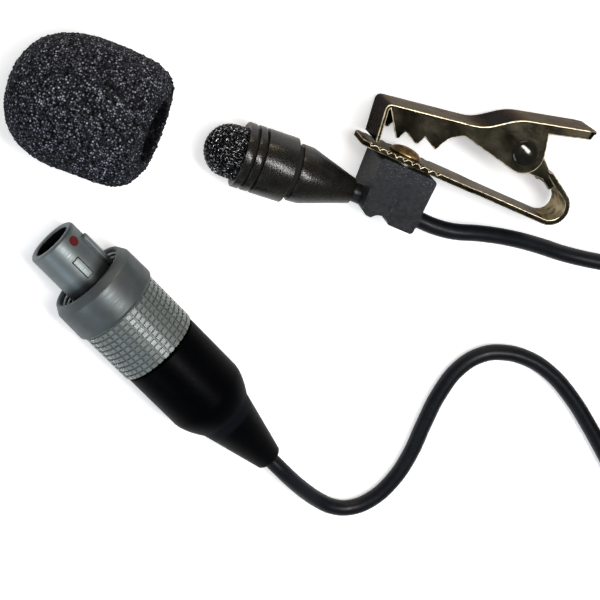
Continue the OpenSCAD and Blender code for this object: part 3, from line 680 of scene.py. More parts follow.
def settle(made, body, stands_for=()):
    """Gives an object its body, if it has one and the nodes that it stands for."""
    if body is not None:
        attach(made, body)
    if stands_for:
        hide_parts(*stands_for)
    return made


def weighted(made):
    """Keeps broad faces flat next to their rounded edges."""
    modifier = made.modifiers.new("Weighted Normal", "WEIGHTED_NORMAL")
    modifier.keep_sharp = True
    return made


def wire(name, lines, thickness, material, body, stands_for=(), kind="POLY", sides=2):
    """Round wires along lines of points, as one curve, or as a mesh if it has no body."""
    data = bpy.data.curves.new(name, "CURVE")
    data.dimensions = "3D"
    data.bevel_depth = thickness / 2
    data.bevel_resolution = sides
    data.use_fill_caps = True
    data.resolution_u = 4
    for line in lines:
        spline = data.splines.new(kind)
        points = spline.bezier_points if kind == "BEZIER" else spline.points
        points.add(len(line) - 1)
        for point, place in zip(points, line):
            point.co = place if kind == "BEZIER" else (*place, 1)
            if kind == "BEZIER":
                point.handle_left_type = point.handle_right_type = "AUTO"
    data.materials.append(material)
    made = new_object(name, data)
    if body is None:
        made = meshed(made)
    return settle(made, body, stands_for)


def meshed(curve):
    """The same piece as a mesh, for one that has no body of its own."""
    name = curve.name
    bpy.context.view_layer.update()
    shape = curve.evaluated_get(bpy.context.evaluated_depsgraph_get())
    mesh = bpy.data.meshes.new_from_object(shape)
    bpy.data.objects.remove(curve)
    return new_object(name, mesh)


def dress(material, *nodes):
    """Gives nodes of the frame their material."""
    for node in nodes:
        data = frame["nodes"][node].data
        data.materials.clear()
        data.materials.append(material)


# ---------------------------------------------------------------- the head


class LAVALIER_OT_mesh_dome(bpy.types.Operator):
    """Wire mesh dome over the capsule, woven over a dark core of painted shade"""

    bl_idname = "lavalier.mesh_dome"
    bl_label = "Mesh Dome"

    # In millimetres
    radius = 3.1
    nose_length = 3.0
    total_length = 4.6
    wire_depth = 0.16
    sway = 0.05
    # Without a seed of its own, the wires' sway would start from the clock
    seed = 1
    core_depth = 0.3

    def surface(self, across, along_wire):
        """The point of the dome at two distances from its axis, folded down its side."""
        reach = math.hypot(across, along_wire)
        if reach < 1e-9:
            return Vector((0, across, along_wire))
        arc = math.pi / 2 * self.radius
        turn = min(reach / arc, 1) * math.pi / 2
        down = self.nose_length * (1 - math.cos(turn)) + max(0, reach - arc)
        out = self.radius * math.sin(turn) / reach
        return Vector((down, across * out, along_wire * out))

    def woven(self, row, turned, count, pitch, lift, limit):
        """The points of one wire, which runs over and under those that cross it."""
        line = []
        for step in range(-2 * count, 2 * count + 1):
            first, second = row * pitch, step * pitch / 2
            if math.hypot(first, second) > limit:
                continue
            place = self.surface(*((second, first) if turned else (first, second)))
            outward = place - Vector((self.nose_length, 0, 0))
            outward.x = min(outward.x, 0)
            side = 1 if (row + step // 2) % 2 == 0 else -1
            rise = lift * side * (1 if turned else -1) * (step % 2 == 0)
            wobble = noise.noise_vector(place * 3.1) * self.sway
            inner = place - outward.normalized() * (self.wire_depth - rise) + wobble
            line.append(HEAD @ (inner * MM))
        return line

    def execute(self, context):
        settings = context.scene.lavalier_head
        pitch = settings.wire_pitch / MM
        limit = math.pi / 2 * self.radius + self.total_length - self.nose_length
        count = int(limit / pitch)
        lift = 0.3 * settings.wire_width / MM
        noise.seed_set(self.seed)
        lines = [
            self.woven(row, turned, count, pitch, lift, limit)
            for row in range(-count, count + 1)
            for turned in (False, True)
        ]
        wire(
            "mesh_dome_wires",
            [line for line in lines if len(line) > 3],
            settings.wire_width,
            blackened_wire(),
            "mic",
            ["mesh_dome"],
            sides=1,
        )
        # The core is painted shade: near-black just inside the wires, for the dark behind them
        depth, inset = self.core_depth, self.radius - self.core_depth
        quarter = [math.pi / 2 * step / 12 for step in range(13)]
        reach = self.nose_length - depth
        outline = [(depth + reach * (1 - math.cos(a)), inset * math.sin(a)) for a in quarter]
        outline += [(self.total_length, inset), (self.total_length, 0)]
        core, black = turned_solid(outline, 48), deep_black("dome core")
        finish_piece("mesh_dome_core", core, black, "mic", place=HEAD)
        return {"FINISHED"}


class LAVALIER_OT_head(bpy.types.Operator):
    """Collar with its grooves, band and rear cone of the head, with painted shade in the grooves"""

    bl_idname = "lavalier.head"
    bl_label = "Head"

    def execute(self, context):
        settings = context.scene.lavalier_head
        metal = satin_black(settings)
        radius, floor, inner = 3.85, 3.42, 3.12
        collar = [
            (4.2, inner), (4.2, radius), (5.06, radius), (5.06, floor), (5.42, floor),
            (5.42, radius), (6.2, radius), (6.2, floor), (6.49, floor), (6.49, inner),
        ]
        band = [(6.51, inner), (6.51, radius), (10.18, radius), (10.18, inner)]
        cone = [
            (10.18, 0), (10.18, 3.1), (10.9, 3.1), (10.9, 3.4), (12.25, 3.35), (CONE_END, 1.5),
            (CONE_END, 0),
        ]
        # Painted shade: near-black rings just inside the grooves and the neck before the cone
        groove_shade, black = bmesh.new(), deep_black("groove painted shade")
        for start, end, depth in ((5.07, 5.41, floor), (6.21, 6.48, floor), (10.2, 10.88, 3.1)):
            join(groove_shade, thin_ring(start, end, depth - 0.05, depth + 0.02))
        finish_piece("groove_painted_shade", groove_shade, black, "mic", place=HEAD)
        for name, outline, node in (
            ("collar", collar, "grille_collar"),
            ("band", band, "head_body"),
            ("cone", cone, "rear_cone"),
        ):
            solid = soften(turned_solid(outline, 128), settings.edge_round, 3, 20)
            finish_piece(name, solid, metal, "mic", [node], HEAD)
        return {"FINISHED"}


class LAVALIER_OT_inner_parts(bpy.types.Operator):
    """Finishes of the pieces inside the head and the plug"""

    bl_idname = "lavalier.inner_parts"
    bl_label = "Inner Parts"

    def execute(self, context):
        clip = context.scene.lavalier_clip
        cord = context.scene.lavalier_cord
        dress(bright_metal("capsule can", (0.6, 0.58, 0.54), 0.3), "capsule")
        dress(moulded("seal rubber", (0.014, 0.014, 0.015), 0.55), "capsule_gasket")
        dress(moulded("board lacquer", (0.03, 0.16, 0.07), 0.4), "head_board")
        jacket = moulded("cord end jacket", cord.jacket, cord.roughness)
        dress(jacket, "mic_cord_end", "plug_cord_end")
        dress(moulded("plug insert", (0.012, 0.013, 0.012), 0.45), "plug_insert")
        dress(bright_metal("contact gold", (0.83, 0.6, 0.25), 0.2), "contact_pins")
        dress(bright_metal("ring steel", (0.42, 0.42, 0.41), 0.3), "retaining_ring")
        dress(worn_brass(clip), "cord_collet")
        dress(bright_metal("washer steel", (0.36, 0.34, 0.31), 0.3), "rivet_washer")
        return {"FINISHED"}


# ---------------------------------------------------------------- block and clip


class LAVALIER_OT_holder_block(bpy.types.Operator):
    """Grained rubber block and the sleeve round the microphone's neck"""

    bl_idname = "lavalier.holder_block"
    bl_label = "Holder Block"

    def execute(self, context):
        settings = context.scene.lavalier_clip
        block = soften(node_copy("holder_block"), settings.block_round, 3, 30)
        grained = grained_rubber(settings)
        weighted(finish_piece("block", block, grained, "mic", ["holder_block"]))
        sleeve = soften(node_copy("neck_sleeve"), 0.06 * MM, 2, 40)
        rubber = moulded("sleeve rubber", (0.013, 0.013, 0.015), 0.4)
        finish_piece("sleeve", sleeve, rubber, "mic", ["neck_sleeve"])
        return {"FINISHED"}


class LAVALIER_OT_clip(bpy.types.Operator):
    """Both jaws of the clip, with the rounded edges of stamped sheet"""

    bl_idname = "lavalier.clip"
    bl_label = "Clip"

    tips_below = 3.1 * MM
    tip_merge = 0.3 * MM
    bend_middle = Vector((17.9, 2.3, 0)) * MM
    bend_reach = 1.3 * MM
    bend_from = 17.7 * MM
    leg_from = 3 * MM
    # How pale the leg's painted reflection is
    wear_and_sheen = 0.85

    def execute(self, context):
        settings = context.scene.lavalier_clip
        plating = dark_plating(settings)
        to_clip = CLIP.inverted()
        for name, node, body, worn in (
            ("jaw_plate", "lower_jaw", "clip", 0.6),
            ("jaw_stamped", "upper_jaw", "jaw", 0.95),
        ):
            jaw = node_copy(node, merge=0.1 * MM)
            if node == "upper_jaw":
                tips = [vert for vert in jaw.verts if (to_clip @ vert.co).y < self.tips_below]
                bmesh.ops.remove_doubles(jaw, verts=tips, dist=self.tip_merge)
            soften(jaw, settings.edge_round, 2, 35, worn, clamp=False)
            if node == "lower_jaw":
                self.paint_leg_sheen(jaw, to_clip)
            weighted(finish_piece(name, jaw, plating, body, [node]))
        return {"FINISHED"}

    def paint_leg_sheen(self, jaw, to_clip):
        """Marks the inside of the rear bend and leg with the pale edge colour, as a painted reflection."""
        layer = jaw.loops.layers.float_color[WORN_AND_LIT_EDGE]
        jaw.normal_update()
        for face in jaw.faces:
            middle = to_clip @ face.calc_center_median()
            inward = (self.bend_middle - middle).dot(to_clip.to_3x3() @ face.normal)
            behind = middle.x > self.bend_from or middle.y > self.leg_from
            if inward > self.bend_reach and behind:
                for loop in face.loops:
                    loop[layer] = (self.wear_and_sheen, self.wear_and_sheen, self.wear_and_sheen, 1)


class LAVALIER_OT_pivot(bpy.types.Operator):
    """Domed pin, wound spring and brass rivet"""

    bl_idname = "lavalier.pivot"
    bl_label = "Pivot"

    # In millimetres
    pin_radius = 0.8
    head_radius = 1.6
    head_height = 0.5
    half_width = 3.34
    rivet_radius = 1.9
    rivet_height = 0.8
    block_to_rivet = 0.7

    def dome(self, radius, height, start=0.0, steps=8):
        """The outline of a domed head from its rim to its middle."""
        turns = [math.pi / 2 * step / steps for step in range(steps + 1)]
        return [(start + height * math.sin(a), radius * math.cos(a)) for a in turns]

    def execute(self, context):
        settings = context.scene.lavalier_clip
        cap = self.dome(self.head_radius, self.head_height, self.half_width)
        outline = [(-x, radius) for x, radius in reversed(cap)]
        outline += [(-self.half_width, self.pin_radius), (self.half_width, self.pin_radius)] + cap
        pin, polished = turned_solid(outline, 64), pin_black(settings)
        across = Matrix.Translation(PIVOT) @ Matrix.Rotation(math.radians(-90), 4, "Y")
        finish_piece("pin", pin, polished, "clip", ["pivot_pin"], CLIP @ across)

        rim = [(0, 0)] + self.dome(self.rivet_radius, self.rivet_height)
        rivet, brass = soften(turned_solid(rim, 64), 0.05 * MM, 2, 50), worn_brass(settings)
        outward = shifted(0, self.block_to_rivet, 0) @ Matrix.Rotation(math.radians(90), 4, "Z")
        finish_piece("rivet", rivet, brass, "mic", ["clip_rivet"], CLIP @ outward)
        self.spring(settings)
        return {"FINISHED"}

    def spring(self, settings):
        """The wound spring, with one leg on each jaw."""
        radius, half_width, turns, thickness = 1.4, 1.95, 4, 0.4 * MM
        lower_leg, upper_leg = math.radians(-10.88), math.radians(35)
        lower_length, upper_length = 6.0, 4.8
        first_turn = lower_leg - math.pi / 2
        sweep = turns * 2 * math.pi + first_turn - upper_leg - math.pi / 2 + 2 * math.pi
        steps = 24 * turns
        line = []
        for step in range(steps + 1):
            turn = first_turn - sweep * step / steps
            depth = half_width * (2 * step / steps - 1)
            line.append(Vector((radius * math.cos(turn), radius * math.sin(turn), depth)))
        first = line[0] + lower_length * Vector((math.cos(lower_leg), math.sin(lower_leg), 0))
        last = line[-1] + upper_length * Vector((math.cos(upper_leg), math.sin(upper_leg), 0))
        points = [CLIP @ (PIVOT + point * MM) for point in [first, *line, last]]
        steel = spring_steel(settings)
        made = wire("spring", [points], thickness, steel, None, ["torsion_spring"])
        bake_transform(made)


# ---------------------------------------------------------------- windscreen


class LAVALIER_OT_windscreen(bpy.types.Operator):
    """Foam windscreen with its bore, and cells at its surface"""

    bl_idname = "lavalier.windscreen"
    bl_label = "Windscreen"

    # Plain numbers are millimetres, but for the powers and the shares
    nose_power = 2.5
    mouth_power = 3.4
    rim = 0.97
    half_length = 9.1
    bore_radius = 3.5
    bore_length = 11.0
    bore_round = 1.2
    spacing = 0.17
    skin = 0.08
    mean_dent = 0.35
    swell = 0.08
    swell_share = 0.22
    lean = 0.072
    lip = 0.45 * MM
    dish = 1.5 * MM
    dish_from, dish_fade = 4.5, 3.5
    rim_from, rim_fade = 0.15, 0.8
    low_reach = 4 * MM
    fill_share = 0.4

    def outline(self, radius, half):
        """The foam's outline, from its nose round its mouth to the bore's floor."""
        points = []
        quarter = [math.pi / 2 * step / 60 for step in range(61)]
        for power, ends in (
            (self.nose_power, [(-1, math.cos(a)) for a in quarter]),
            (self.mouth_power, [(1, self.rim * math.sin(a)) for a in quarter[1:]]),
        ):
            for side, share in ends:
                points.append((side * half * share, radius * (1 - share**power) ** (1 / power)))
        mouth = half * self.rim
        floor = mouth - self.bore_length
        bore, round_off = self.bore_radius, self.bore_round
        points += [(mouth + 0.02, bore + 0.2), (mouth - 0.25, bore)]
        points += [(floor + round_off, bore), (floor, bore - round_off), (floor, 0)]
        return self.even(points)

    def even(self, points):
        """The same outline with points at an even spacing."""
        made = [points[0]]
        for first, second in zip(points, points[1:]):
            reach = math.dist(first, second)
            count = max(1, round(reach / self.spacing))
            for step in range(1, count + 1):
                part = step / count
                made.append(tuple(a + (b - a) * part for a, b in zip(first, second)))
        slim = [made[0]]
        for point in made[1:-1]:
            if math.dist(point, slim[-1]) > 0.6 * self.spacing:
                slim.append(point)
        return slim + [made[-1]]

    def slant(self, foam):
        """Leans and dishes the mouth's face, and fills out its lower rim."""
        mouth = self.half_length * self.rim * MM
        for vert in foam.verts:
            x, y, z = vert.co
            reach = math.hypot(y, z) / MM
            outside = held((reach - self.bore_radius - self.rim_from) / self.rim_fade)
            low = held(-z / self.low_reach)
            fill = self.fill_share * (mouth - x) * held(x / (2 * MM) - 3) * low * outside
            dish = self.dish * (1 - eased((reach - self.dish_from) / self.dish_fade))
            vert.co.x += fill + eased(x / mouth) * (self.lip - self.lean * z - dish)
        foam.normal_update()

    def execute(self, context):
        settings = context.scene.lavalier_foam
        low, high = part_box("windscreen")
        radius = (high.y - low.y) / 2 / MM
        half = self.half_length
        bore = MOUNTS["windscreen_bore"]
        axis = Vector(bore["axis"]).normalized()
        to_middle = half * self.rim - bore["dims"]["length_mm"] / 2
        place = place_along(Vector(bore["pos_m"]) - to_middle * MM * axis, axis, UP)
        foam = turned_solid(self.outline(radius - self.skin, half - self.skin), 300)
        self.slant(foam)
        cell = settings.cell / MM
        lifts = []
        for vert in foam.verts:
            where = vert.co / MM
            near = noise.voronoi(where / cell)[0]
            dent = (near[1] - near[0]) - self.mean_dent
            swell = self.swell * MM * noise.noise(where * self.swell_share)
            lifts.append(vert.normal * (settings.depth * dent + swell))
        for vert, lift in zip(foam.verts, lifts):
            vert.co += lift
        black = foam_black(settings, place)
        made = finish_piece("foam", foam, black, "foam", ["windscreen"], place, 180)
        return {"FINISHED"}


# ---------------------------------------------------------------- plug


class LAVALIER_OT_plug_shell(bpy.types.Operator):
    """Barrel with its step, key rib, latch pad and red dot, and the tube behind it"""

    bl_idname = "lavalier.plug_shell"
    bl_label = "Plug Shell"

    barrel = 3.1
    bore = 2.3
    rib_angle = 80
    dot_angle = 46
    pad_angle = 18

    def execute(self, context):
        settings = context.scene.lavalier_plug
        metal = satin_metal(settings, root_shade_from=4.4 * MM)
        barrel, bore = self.barrel, self.bore
        outline = [
            (0, bore + 0.2), (0, barrel - 0.25), (0.25, barrel), (8.4, barrel), (8.4, 4.0),
            (9.4, 4.0), (9.4, 2.05), (2.6, 2.05), (2.6, bore), (0.2, bore),
        ]
        shell = soften(turned_solid(outline, 128), settings.edge_round, 3, 30)
        join(shell, self.rib())
        finish_piece("barrel", shell, metal, "mic", ["plug_shell"], PLUG)
        # Painted shade: a dark sleeve just inside the bore
        bore_shade = thin_ring(0.24, 2.58, bore + 0.02, bore - 0.05)
        finish_piece("barrel_bore", bore_shade, bore_metal(settings), "mic", place=PLUG)

        pad_place = turned_to(self.pad_angle) @ shifted(4.05, 0, 3.0)
        # Painted shade: a near-black bar a little larger than the pad, for the gap round it
        gap = bar(Vector((2.62, 1.02, 0.24)) * MM, pad_place, 0.04 * MM)
        finish_piece("latch_gap_shade", gap, deep_black("latch gap shade"), "mic", place=PLUG)
        pad = bar(Vector((2.44, 0.84, 0.4)) * MM, pad_place, 0.05 * MM)
        bright = satin_metal(settings, "pad metal", lift=1.2)
        finish_piece("latch_pad", pad, bright, "mic", place=PLUG)

        dot, radius = bmesh.new(), 0.6 * MM
        dot_place = turned_to(self.dot_angle) @ shifted(1.3, 0, barrel - 0.13)
        bmesh.ops.create_cone(
            dot, cap_ends=True, segments=40, radius1=radius, radius2=radius, depth=0.3 * MM,
            matrix=dot_place,
        )
        paint = moulded("dot paint", settings.dot, 0.35, 0.2 * MM)
        finish_piece("dot", soften(dot, 0.03 * MM, 2), paint, "mic", ["key_dot"], PLUG)
        dress(metal, "back_shell")
        return {"FINISHED"}

    def rib(self):
        """The key rib, round at its front end and along its back."""
        height, front_end = 0.86, 2.0 * MM
        place = turned_to(self.rib_angle) @ shifted(4.25, 0, 3.05)
        rib = bar(Vector((4.9, 1.0, height)) * MM, place)
        frontal = [
            edge
            for edge in rib.edges
            if all(vert.co.x < front_end for vert in edge.verts)
            and abs(edge.calc_length() - height * MM) < 0.02 * MM
        ]
        bmesh.ops.bevel(
            rib,
            geom=frontal,
            offset=0.46 * MM,
            segments=8,
            profile=0.5,
            affect="EDGES",
            material=-1,
        )
        return soften(rib, 0.16 * MM, 4, 40)


class LAVALIER_OT_coupling_nut(bpy.types.Operator):
    """Coupling nut with its thread and its square knurl"""

    bl_idname = "lavalier.coupling_nut"
    bl_label = "Coupling Nut"

    # In millimetres, but for the tooth's taper and the counts
    front = 6.0
    step = 10.9
    back = 17.9
    radius = 5.5
    knurl_radius = 5.15
    bore = 4.3
    taper = 0.84
    rings = 10
    columns = 36

    def execute(self, context):
        settings = context.scene.lavalier_plug
        metal = satin_metal(settings, "nut metal", 0.60, self.step * MM)
        floor = self.knurl_radius - 0.2
        outline = [
            (self.front, self.bore + 0.15), (self.front, self.radius - 0.68),
            (self.front + 1.0, self.radius - 0.08), (self.step - 0.3, self.radius),
            (self.step, self.radius - 0.28), (self.step, floor),
            (self.back, floor), (self.back, 3.55), (14.5, 3.55), (14.5, self.bore),
            (self.front + 0.2, self.bore),
        ]
        nut = soften(turned_solid(outline, 128), settings.edge_round, 3, 25)
        pitch = (self.back - self.step) / self.rings
        width = 2 * math.pi * self.knurl_radius / self.columns
        size = Vector((0.78 * pitch, 0.78 * width, 0.28)) * MM
        for ring in range(self.rings):
            for column in range(self.columns):
                along = self.step + (ring + 0.6) * pitch
                turn = turned_to(360 * (column + 0.1) / self.columns)
                self.tooth(nut, size, turn @ shifted(along, 0, self.knurl_radius - 0.14))
        finish_piece("nut", nut, metal, "nut", ["coupling_nut"], PLUG)
        self.thread(settings)
        return {"FINISHED"}

    def tooth(self, nut, size, place):
        """One tooth of the knurl, a low block with sloping sides."""
        made = bmesh.ops.create_cube(nut, size=1, matrix=place @ Matrix.Diagonal((*size, 1)))
        top = [vert for vert in made["verts"] if (place.inverted() @ vert.co).z > 0]
        middle = sum((vert.co for vert in top), Vector()) / 4
        bmesh.ops.scale(nut, vec=[self.taper] * 3, verts=top, space=Matrix.Translation(-middle))

    def thread(self, settings):
        """The thread's ridges in the nut's mouth, coloured bright as painted light."""
        pitch, radius = settings.thread_pitch / MM, self.bore
        turns, steps = 7, 48
        line = []
        for step in range(turns * steps + 1):
            turn = 2 * math.pi * step / steps
            along = self.front + 0.4 + pitch * step / steps
            place = Vector((along, radius * math.sin(turn), radius * math.cos(turn)))
            line.append(PLUG @ (place * MM))
        # Painted light: the thread is bright so that its ridges read lit in the nut's shade
        bright = bright_metal("thread metal painted light", (0.8, 0.83, 0.83), 0.4)
        wire("nut_thread", [line], 0.28 * MM, bright, "nut")


class LAVALIER_OT_boot(bpy.types.Operator):
    """Strain-relief boot with its shoulder and tapered tail"""

    bl_idname = "lavalier.boot"
    bl_label = "Boot"

    def execute(self, context):
        settings = context.scene.lavalier_plug
        front, shoulder, tail, end = 18.2, 26.5, 29.7, BOOT_END
        radius, tail_radius, end_radius, core = 5.0, 3.6, 1.7, 1.0
        outline = [(front, 0), (front, radius - 0.12), (front + 0.12, radius)]
        first, bend = (shoulder - 0.3, radius), (shoulder + 1.1, radius - 0.1)
        last = (tail, tail_radius)
        for step in range(11):
            part = step / 10
            start, middle, close = (1 - part) ** 2, 2 * part * (1 - part), part**2
            places = zip(first, bend, last)
            outline.append(tuple(start * a + middle * b + close * c for a, b, c in places))
        outline += [(end - 0.3, end_radius), (end, end_radius - 0.3), (end, core)]
        outline += [(front + 7, core), (front + 7, 0)]
        solid = soften(turned_solid(outline, 128), 0.08 * MM, 3, 35)
        black = boot_plastic(settings)
        finish_piece("boot_moulding", solid, black, "mic", ["boot"], PLUG)
        return {"FINISHED"}


# ---------------------------------------------------------------- cord

# The free stretches' points, from the nose tip on the table, as the part's source gives them
MIC_ROUTE = [
    (31.5, -0.8, 3.9), (34.4, -0.2, 3.5), (38.5, 0.3, 2.7), (42.5, 0.4, 1.9), (46.5, 0.3, 1.2),
    (50.5, 0.6, 1), (54.5, 1.2, 1), (59, 2, 1), (63.5, 3, 1), (67.8, 4, 1),
]
PLUG_ROUTE = [
    (24.2, -36.4, 3.8), (26.6, -37.7, 2.7), (28.8, -38.7, 1.7), (31, -39.2, 1.2), (33.2, -38.8, 1),
    (35.3, -37.1, 1), (37, -34, 1), (37.9, -30, 1), (38.1, -25.4, 1), (38.5, -21, 1),
    (39.7, -17.2, 1), (41.8, -14.8, 1), (44.2, -13.8, 1), (47.2, -13.6, 1), (50.6, -14.4, 1),
    (54.8, -16.7, 1), (58.6, -19.6, 1), (61.1, -21.7, 1),
]


class Coil:
    """The coil's turns: in, out, in and out again on four layers, then down the outside."""

    # In millimetres, turns and degrees
    middle = (78.7, -10.5)
    outer = 16.3
    pitch = 2.5
    layer = 2.45
    loops = 19.625
    start = 100
    drop = 0.6
    drop_out = 3.2
    steps = 24
    inside = loops - drop
    turns = (inside - 1.5) / 4
    leg = turns + 0.5

    def zigzag(self, turn):
        """How many turns in from the outside the cord lies."""
        leg, along = divmod(turn + 0.25, self.leg)
        return along - 0.25 if leg % 2 == 0 else self.leg - along - 0.25

    def climb(self, turn):
        """The layer that the cord lies on."""
        leg, along = divmod(turn, self.leg)
        return leg + held((along - self.turns) / 0.5)

    def point(self, turn):
        """The cord's middle after that many turns."""
        fall = max(0.0, turn - self.inside) / self.drop
        inside = min(turn, self.inside)
        reach = self.outer - self.pitch * self.zigzag(inside) + self.drop_out * eased(2.4 * fall)
        top = 1 + self.layer * self.climb(inside)
        height = top + (1 - top) * eased((fall - 0.18) / 0.82) if fall else top
        angle = math.radians(self.start - 360 * turn)
        x, y = self.middle
        return Vector((x + reach * math.cos(angle), y + reach * math.sin(angle), height))

    def points(self):
        """All the coil's points, and its directions at both ends."""
        count = round(self.loops * self.steps)
        line = [self.point(step / self.steps) for step in range(count + 1)]
        inward = (self.point(0.01) - self.point(0)).normalized()
        outward = (self.point(self.loops) - self.point(self.loops - 0.01)).normalized()
        return line, inward, outward


class LAVALIER_OT_cord(bpy.types.Operator):
    """One cord from the neck sleeve through its coil to the boot"""

    bl_idname = "lavalier.cord"
    bl_label = "Cord"

    diameter = 2.0
    length = 1.466
    sleeve_end = 5.0 * MM

    def execute(self, context):
        settings = context.scene.lavalier_cord
        jacket = moulded(
            "cord jacket",
            settings.jacket,
            settings.roughness,
            0.4 * MM,
            0.004 * MM,
            Specular_IOR_Level=0.22,
        )
        table = Vector((NOSE.x, NOSE.y, 0)) / MM
        line, inward, outward = Coil().points()
        neck_height = (CLIP.inverted() @ (NOSE + Vector((CONE_END * MM, 0, 0)))).y
        exit_point = CLIP @ Vector((self.sleeve_end, neck_height, 0))
        sleeve_way = (CLIP.to_3x3() @ Vector((1, 0, 0))).normalized()
        tail_point = PLUG @ Vector((BOOT_END * MM, 0, 0))
        points = [exit_point, exit_point + self.diameter * MM * sleeve_way]
        points += [(table + Vector(place)) * MM for place in MIC_ROUTE]
        middle = [line[0] - 2 * self.diameter * inward, line[0] - self.diameter * inward]
        middle += line
        middle += [line[-1] + self.diameter * outward, line[-1] + 2 * self.diameter * outward]
        points += [(table + place) * MM for place in middle]
        points += [(table + Vector(place)) * MM for place in reversed(PLUG_ROUTE)]
        points += [tail_point + self.diameter * MM * PLUG_AXIS, tail_point]
        made = wire(
            "cord",
            [points],
            self.diameter * MM,
            jacket,
            "mic",
            ["cord_mic_run", "cord_coil", "cord_plug_run"],
            kind="BEZIER",
            sides=6,
        )
        return {"FINISHED"}


# ---------------------------------------------------------------- stage


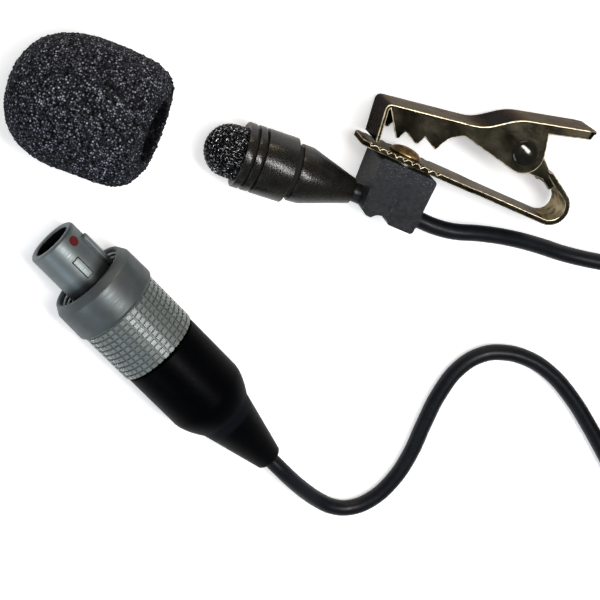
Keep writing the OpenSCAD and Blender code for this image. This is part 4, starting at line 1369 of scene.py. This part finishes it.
class LAVALIER_OT_stage(bpy.types.Operator):
    """Pale floor, soft lamps and the camera"""

    bl_idname = "lavalier.stage"
    bl_label = "Stage"

    camera_place = Vector((-40.76, 30.12, 191.94)) * MM
    camera_aim = Vector((7.10, -18.76, 4.0)) * MM
    camera_up = Vector((-0.348, 0.937, 0))
    floor_size = 1.5
    floor_drop = 0.02 * MM
    seen_glow = 0.45
    mirrored_glow = 0.05
    light_level = 0.31
    mirrored_low, mirrored_high = 0.44, 0.07

    def execute(self, context):
        settings = context.scene.lavalier_stage
        self.floor(settings)
        self.world(context.scene)
        self.lamps()
        self.camera(context.scene, settings)
        context.scene.view_settings.view_transform = "Standard"
        return {"FINISHED"}

    def floor(self, settings):
        """A large pale floor that reads as white and keeps soft shadows."""
        plane = bmesh.new()
        bmesh.ops.create_grid(plane, x_segments=1, y_segments=1, size=self.floor_size)
        bmesh.ops.translate(plane, vec=(0, 0, -self.floor_drop), verts=plane.verts)
        mesh = bpy.data.meshes.new("floor")
        plane.to_mesh(mesh)
        plane.free()
        made = new_object("floor", mesh)
        finish = Finish("studio floor", settings.floor, 0.9, Emission_Color=(1, 1, 1, 1))
        finish.shade(finish.grain(60 * MM, 2.0), settings.floor, (0.2, 0.99), (0.8, 1.0))
        seen, mirrored = finish.rays()
        direct = finish.times(seen, self.seen_glow)
        glossy = finish.times(mirrored, self.mirrored_glow)
        finish.set("Emission Strength", finish.math("ADD", direct, glossy))
        mesh.materials.append(finish.material)

    def world(self, scene):
        """A plain studio: white where it is seen, softer where it lights or is mirrored."""
        world = bpy.data.worlds.new("studio")
        world.use_nodes = True
        scene.world = world
        nodes = Nodes(world.node_tree)
        back = nodes.tree.nodes["Background"]
        back.inputs["Color"].default_value = (1, 1, 1, 1)
        way = nodes.add("TexCoord").outputs["Generated"]
        height = nodes.add("SeparateXYZ", Vector=way).outputs["Z"]
        # Straight up, reflections show the dark opening that the camera looks through
        opening = nodes.between(
            height, 0.0, 0.5, self.mirrored_low, self.mirrored_high, "SMOOTHSTEP"
        )
        seen, mirrored = nodes.rays()
        level = self.light_level
        for ray, strength in ((mirrored, opening), (seen, 1.0)):
            pick = nodes.add("Mix")
            for index, value in ((0, ray), (2, level), (3, strength)):
                nodes.feed(pick.inputs[index], value)
            level = pick.outputs[0]
        nodes.feed(back.inputs["Strength"], level)

    def lamp(self, name, place, aim, size, power, tint):
        """A soft rectangular lamp that looks at a point."""
        data = bpy.data.lights.new(name, "AREA")
        data.shape = "RECTANGLE"
        data.size, data.size_y = size
        data.energy = power
        data.color = tint
        made = new_object(name, data)
        made.location = place
        made.rotation_mode = "QUATERNION"
        made.rotation_quaternion = (Vector(aim) - Vector(place)).to_track_quat("-Z", "Y")

    def lamps(self):
        """A long lamp overhead, a low warm one on the clip's side, a cool one on the plug's."""
        aim = (0.01, -0.01, 0)
        self.lamp("key", (0.10, 0.08, 0.44), (0.05, -0.01, 0), (0.30, 0.07), 1.45, (1, 0.98, 0.96))
        self.lamp("warm", (-0.10, 0.40, 0.14), aim, (0.30, 0.10), 0.40, (1, 0.84, 0.58))
        self.lamp("cool", (-0.20, -0.32, 0.30), aim, (0.30, 0.20), 0.48, (0.76, 0.88, 1))

    def camera(self, scene, settings):
        """The camera, close above the table."""
        data = bpy.data.cameras.new("camera")
        data.sensor_width = 36
        data.lens = settings.focal
        data.clip_start = 0.01
        made = new_object("camera", data)
        made.location = self.camera_place
        forward = (self.camera_aim - self.camera_place).normalized()
        right = forward.cross(self.camera_up).normalized()
        up = right.cross(forward)
        made.rotation_mode = "QUATERNION"
        made.rotation_quaternion = Matrix((right, up, -forward)).transposed().to_quaternion()
        scene.camera = made


# ---------------------------------------------------------------- add-on


class LAVALIER_PT_panel(bpy.types.Panel):
    """The microphone's pieces and settings"""

    bl_idname = "LAVALIER_PT_panel"
    bl_label = "Lavalier Microphone"
    bl_space_type = "VIEW_3D"
    bl_region_type = "UI"
    bl_category = "Lavalier"

    def draw(self, context):
        for group in GROUPS:
            settings = getattr(context.scene, group)
            box = self.layout.box()
            box.label(text=group.split("_")[1].title())
            for name in settings.__annotations__:
                box.prop(settings, name)
        for operator in OPERATORS:
            self.layout.operator(operator.bl_idname)


# The order in which the pieces are made
OPERATORS = (
    LAVALIER_OT_stage,
    LAVALIER_OT_mesh_dome,
    LAVALIER_OT_head,
    LAVALIER_OT_inner_parts,
    LAVALIER_OT_holder_block,
    LAVALIER_OT_clip,
    LAVALIER_OT_pivot,
    LAVALIER_OT_windscreen,
    LAVALIER_OT_plug_shell,
    LAVALIER_OT_coupling_nut,
    LAVALIER_OT_boot,
    LAVALIER_OT_cord,
)
CLASSES = (*GROUPS.values(), *OPERATORS, LAVALIER_PT_panel)


def register():
    """Adds the classes and their settings."""
    for each in CLASSES:
        bpy.utils.register_class(each)
    for name, group in GROUPS.items():
        setattr(bpy.types.Scene, name, PointerProperty(type=group))


def unregister():
    """Takes the classes and their settings away."""
    for name in GROUPS:
        delattr(bpy.types.Scene, name)
    for each in reversed(CLASSES):
        bpy.utils.unregister_class(each)


def main():
    """Makes every piece."""
    register()
    for operator in OPERATORS:
        group, name = operator.bl_idname.split(".")
        getattr(getattr(bpy.ops, group), name)()


if __name__ == "__main__":
    main()
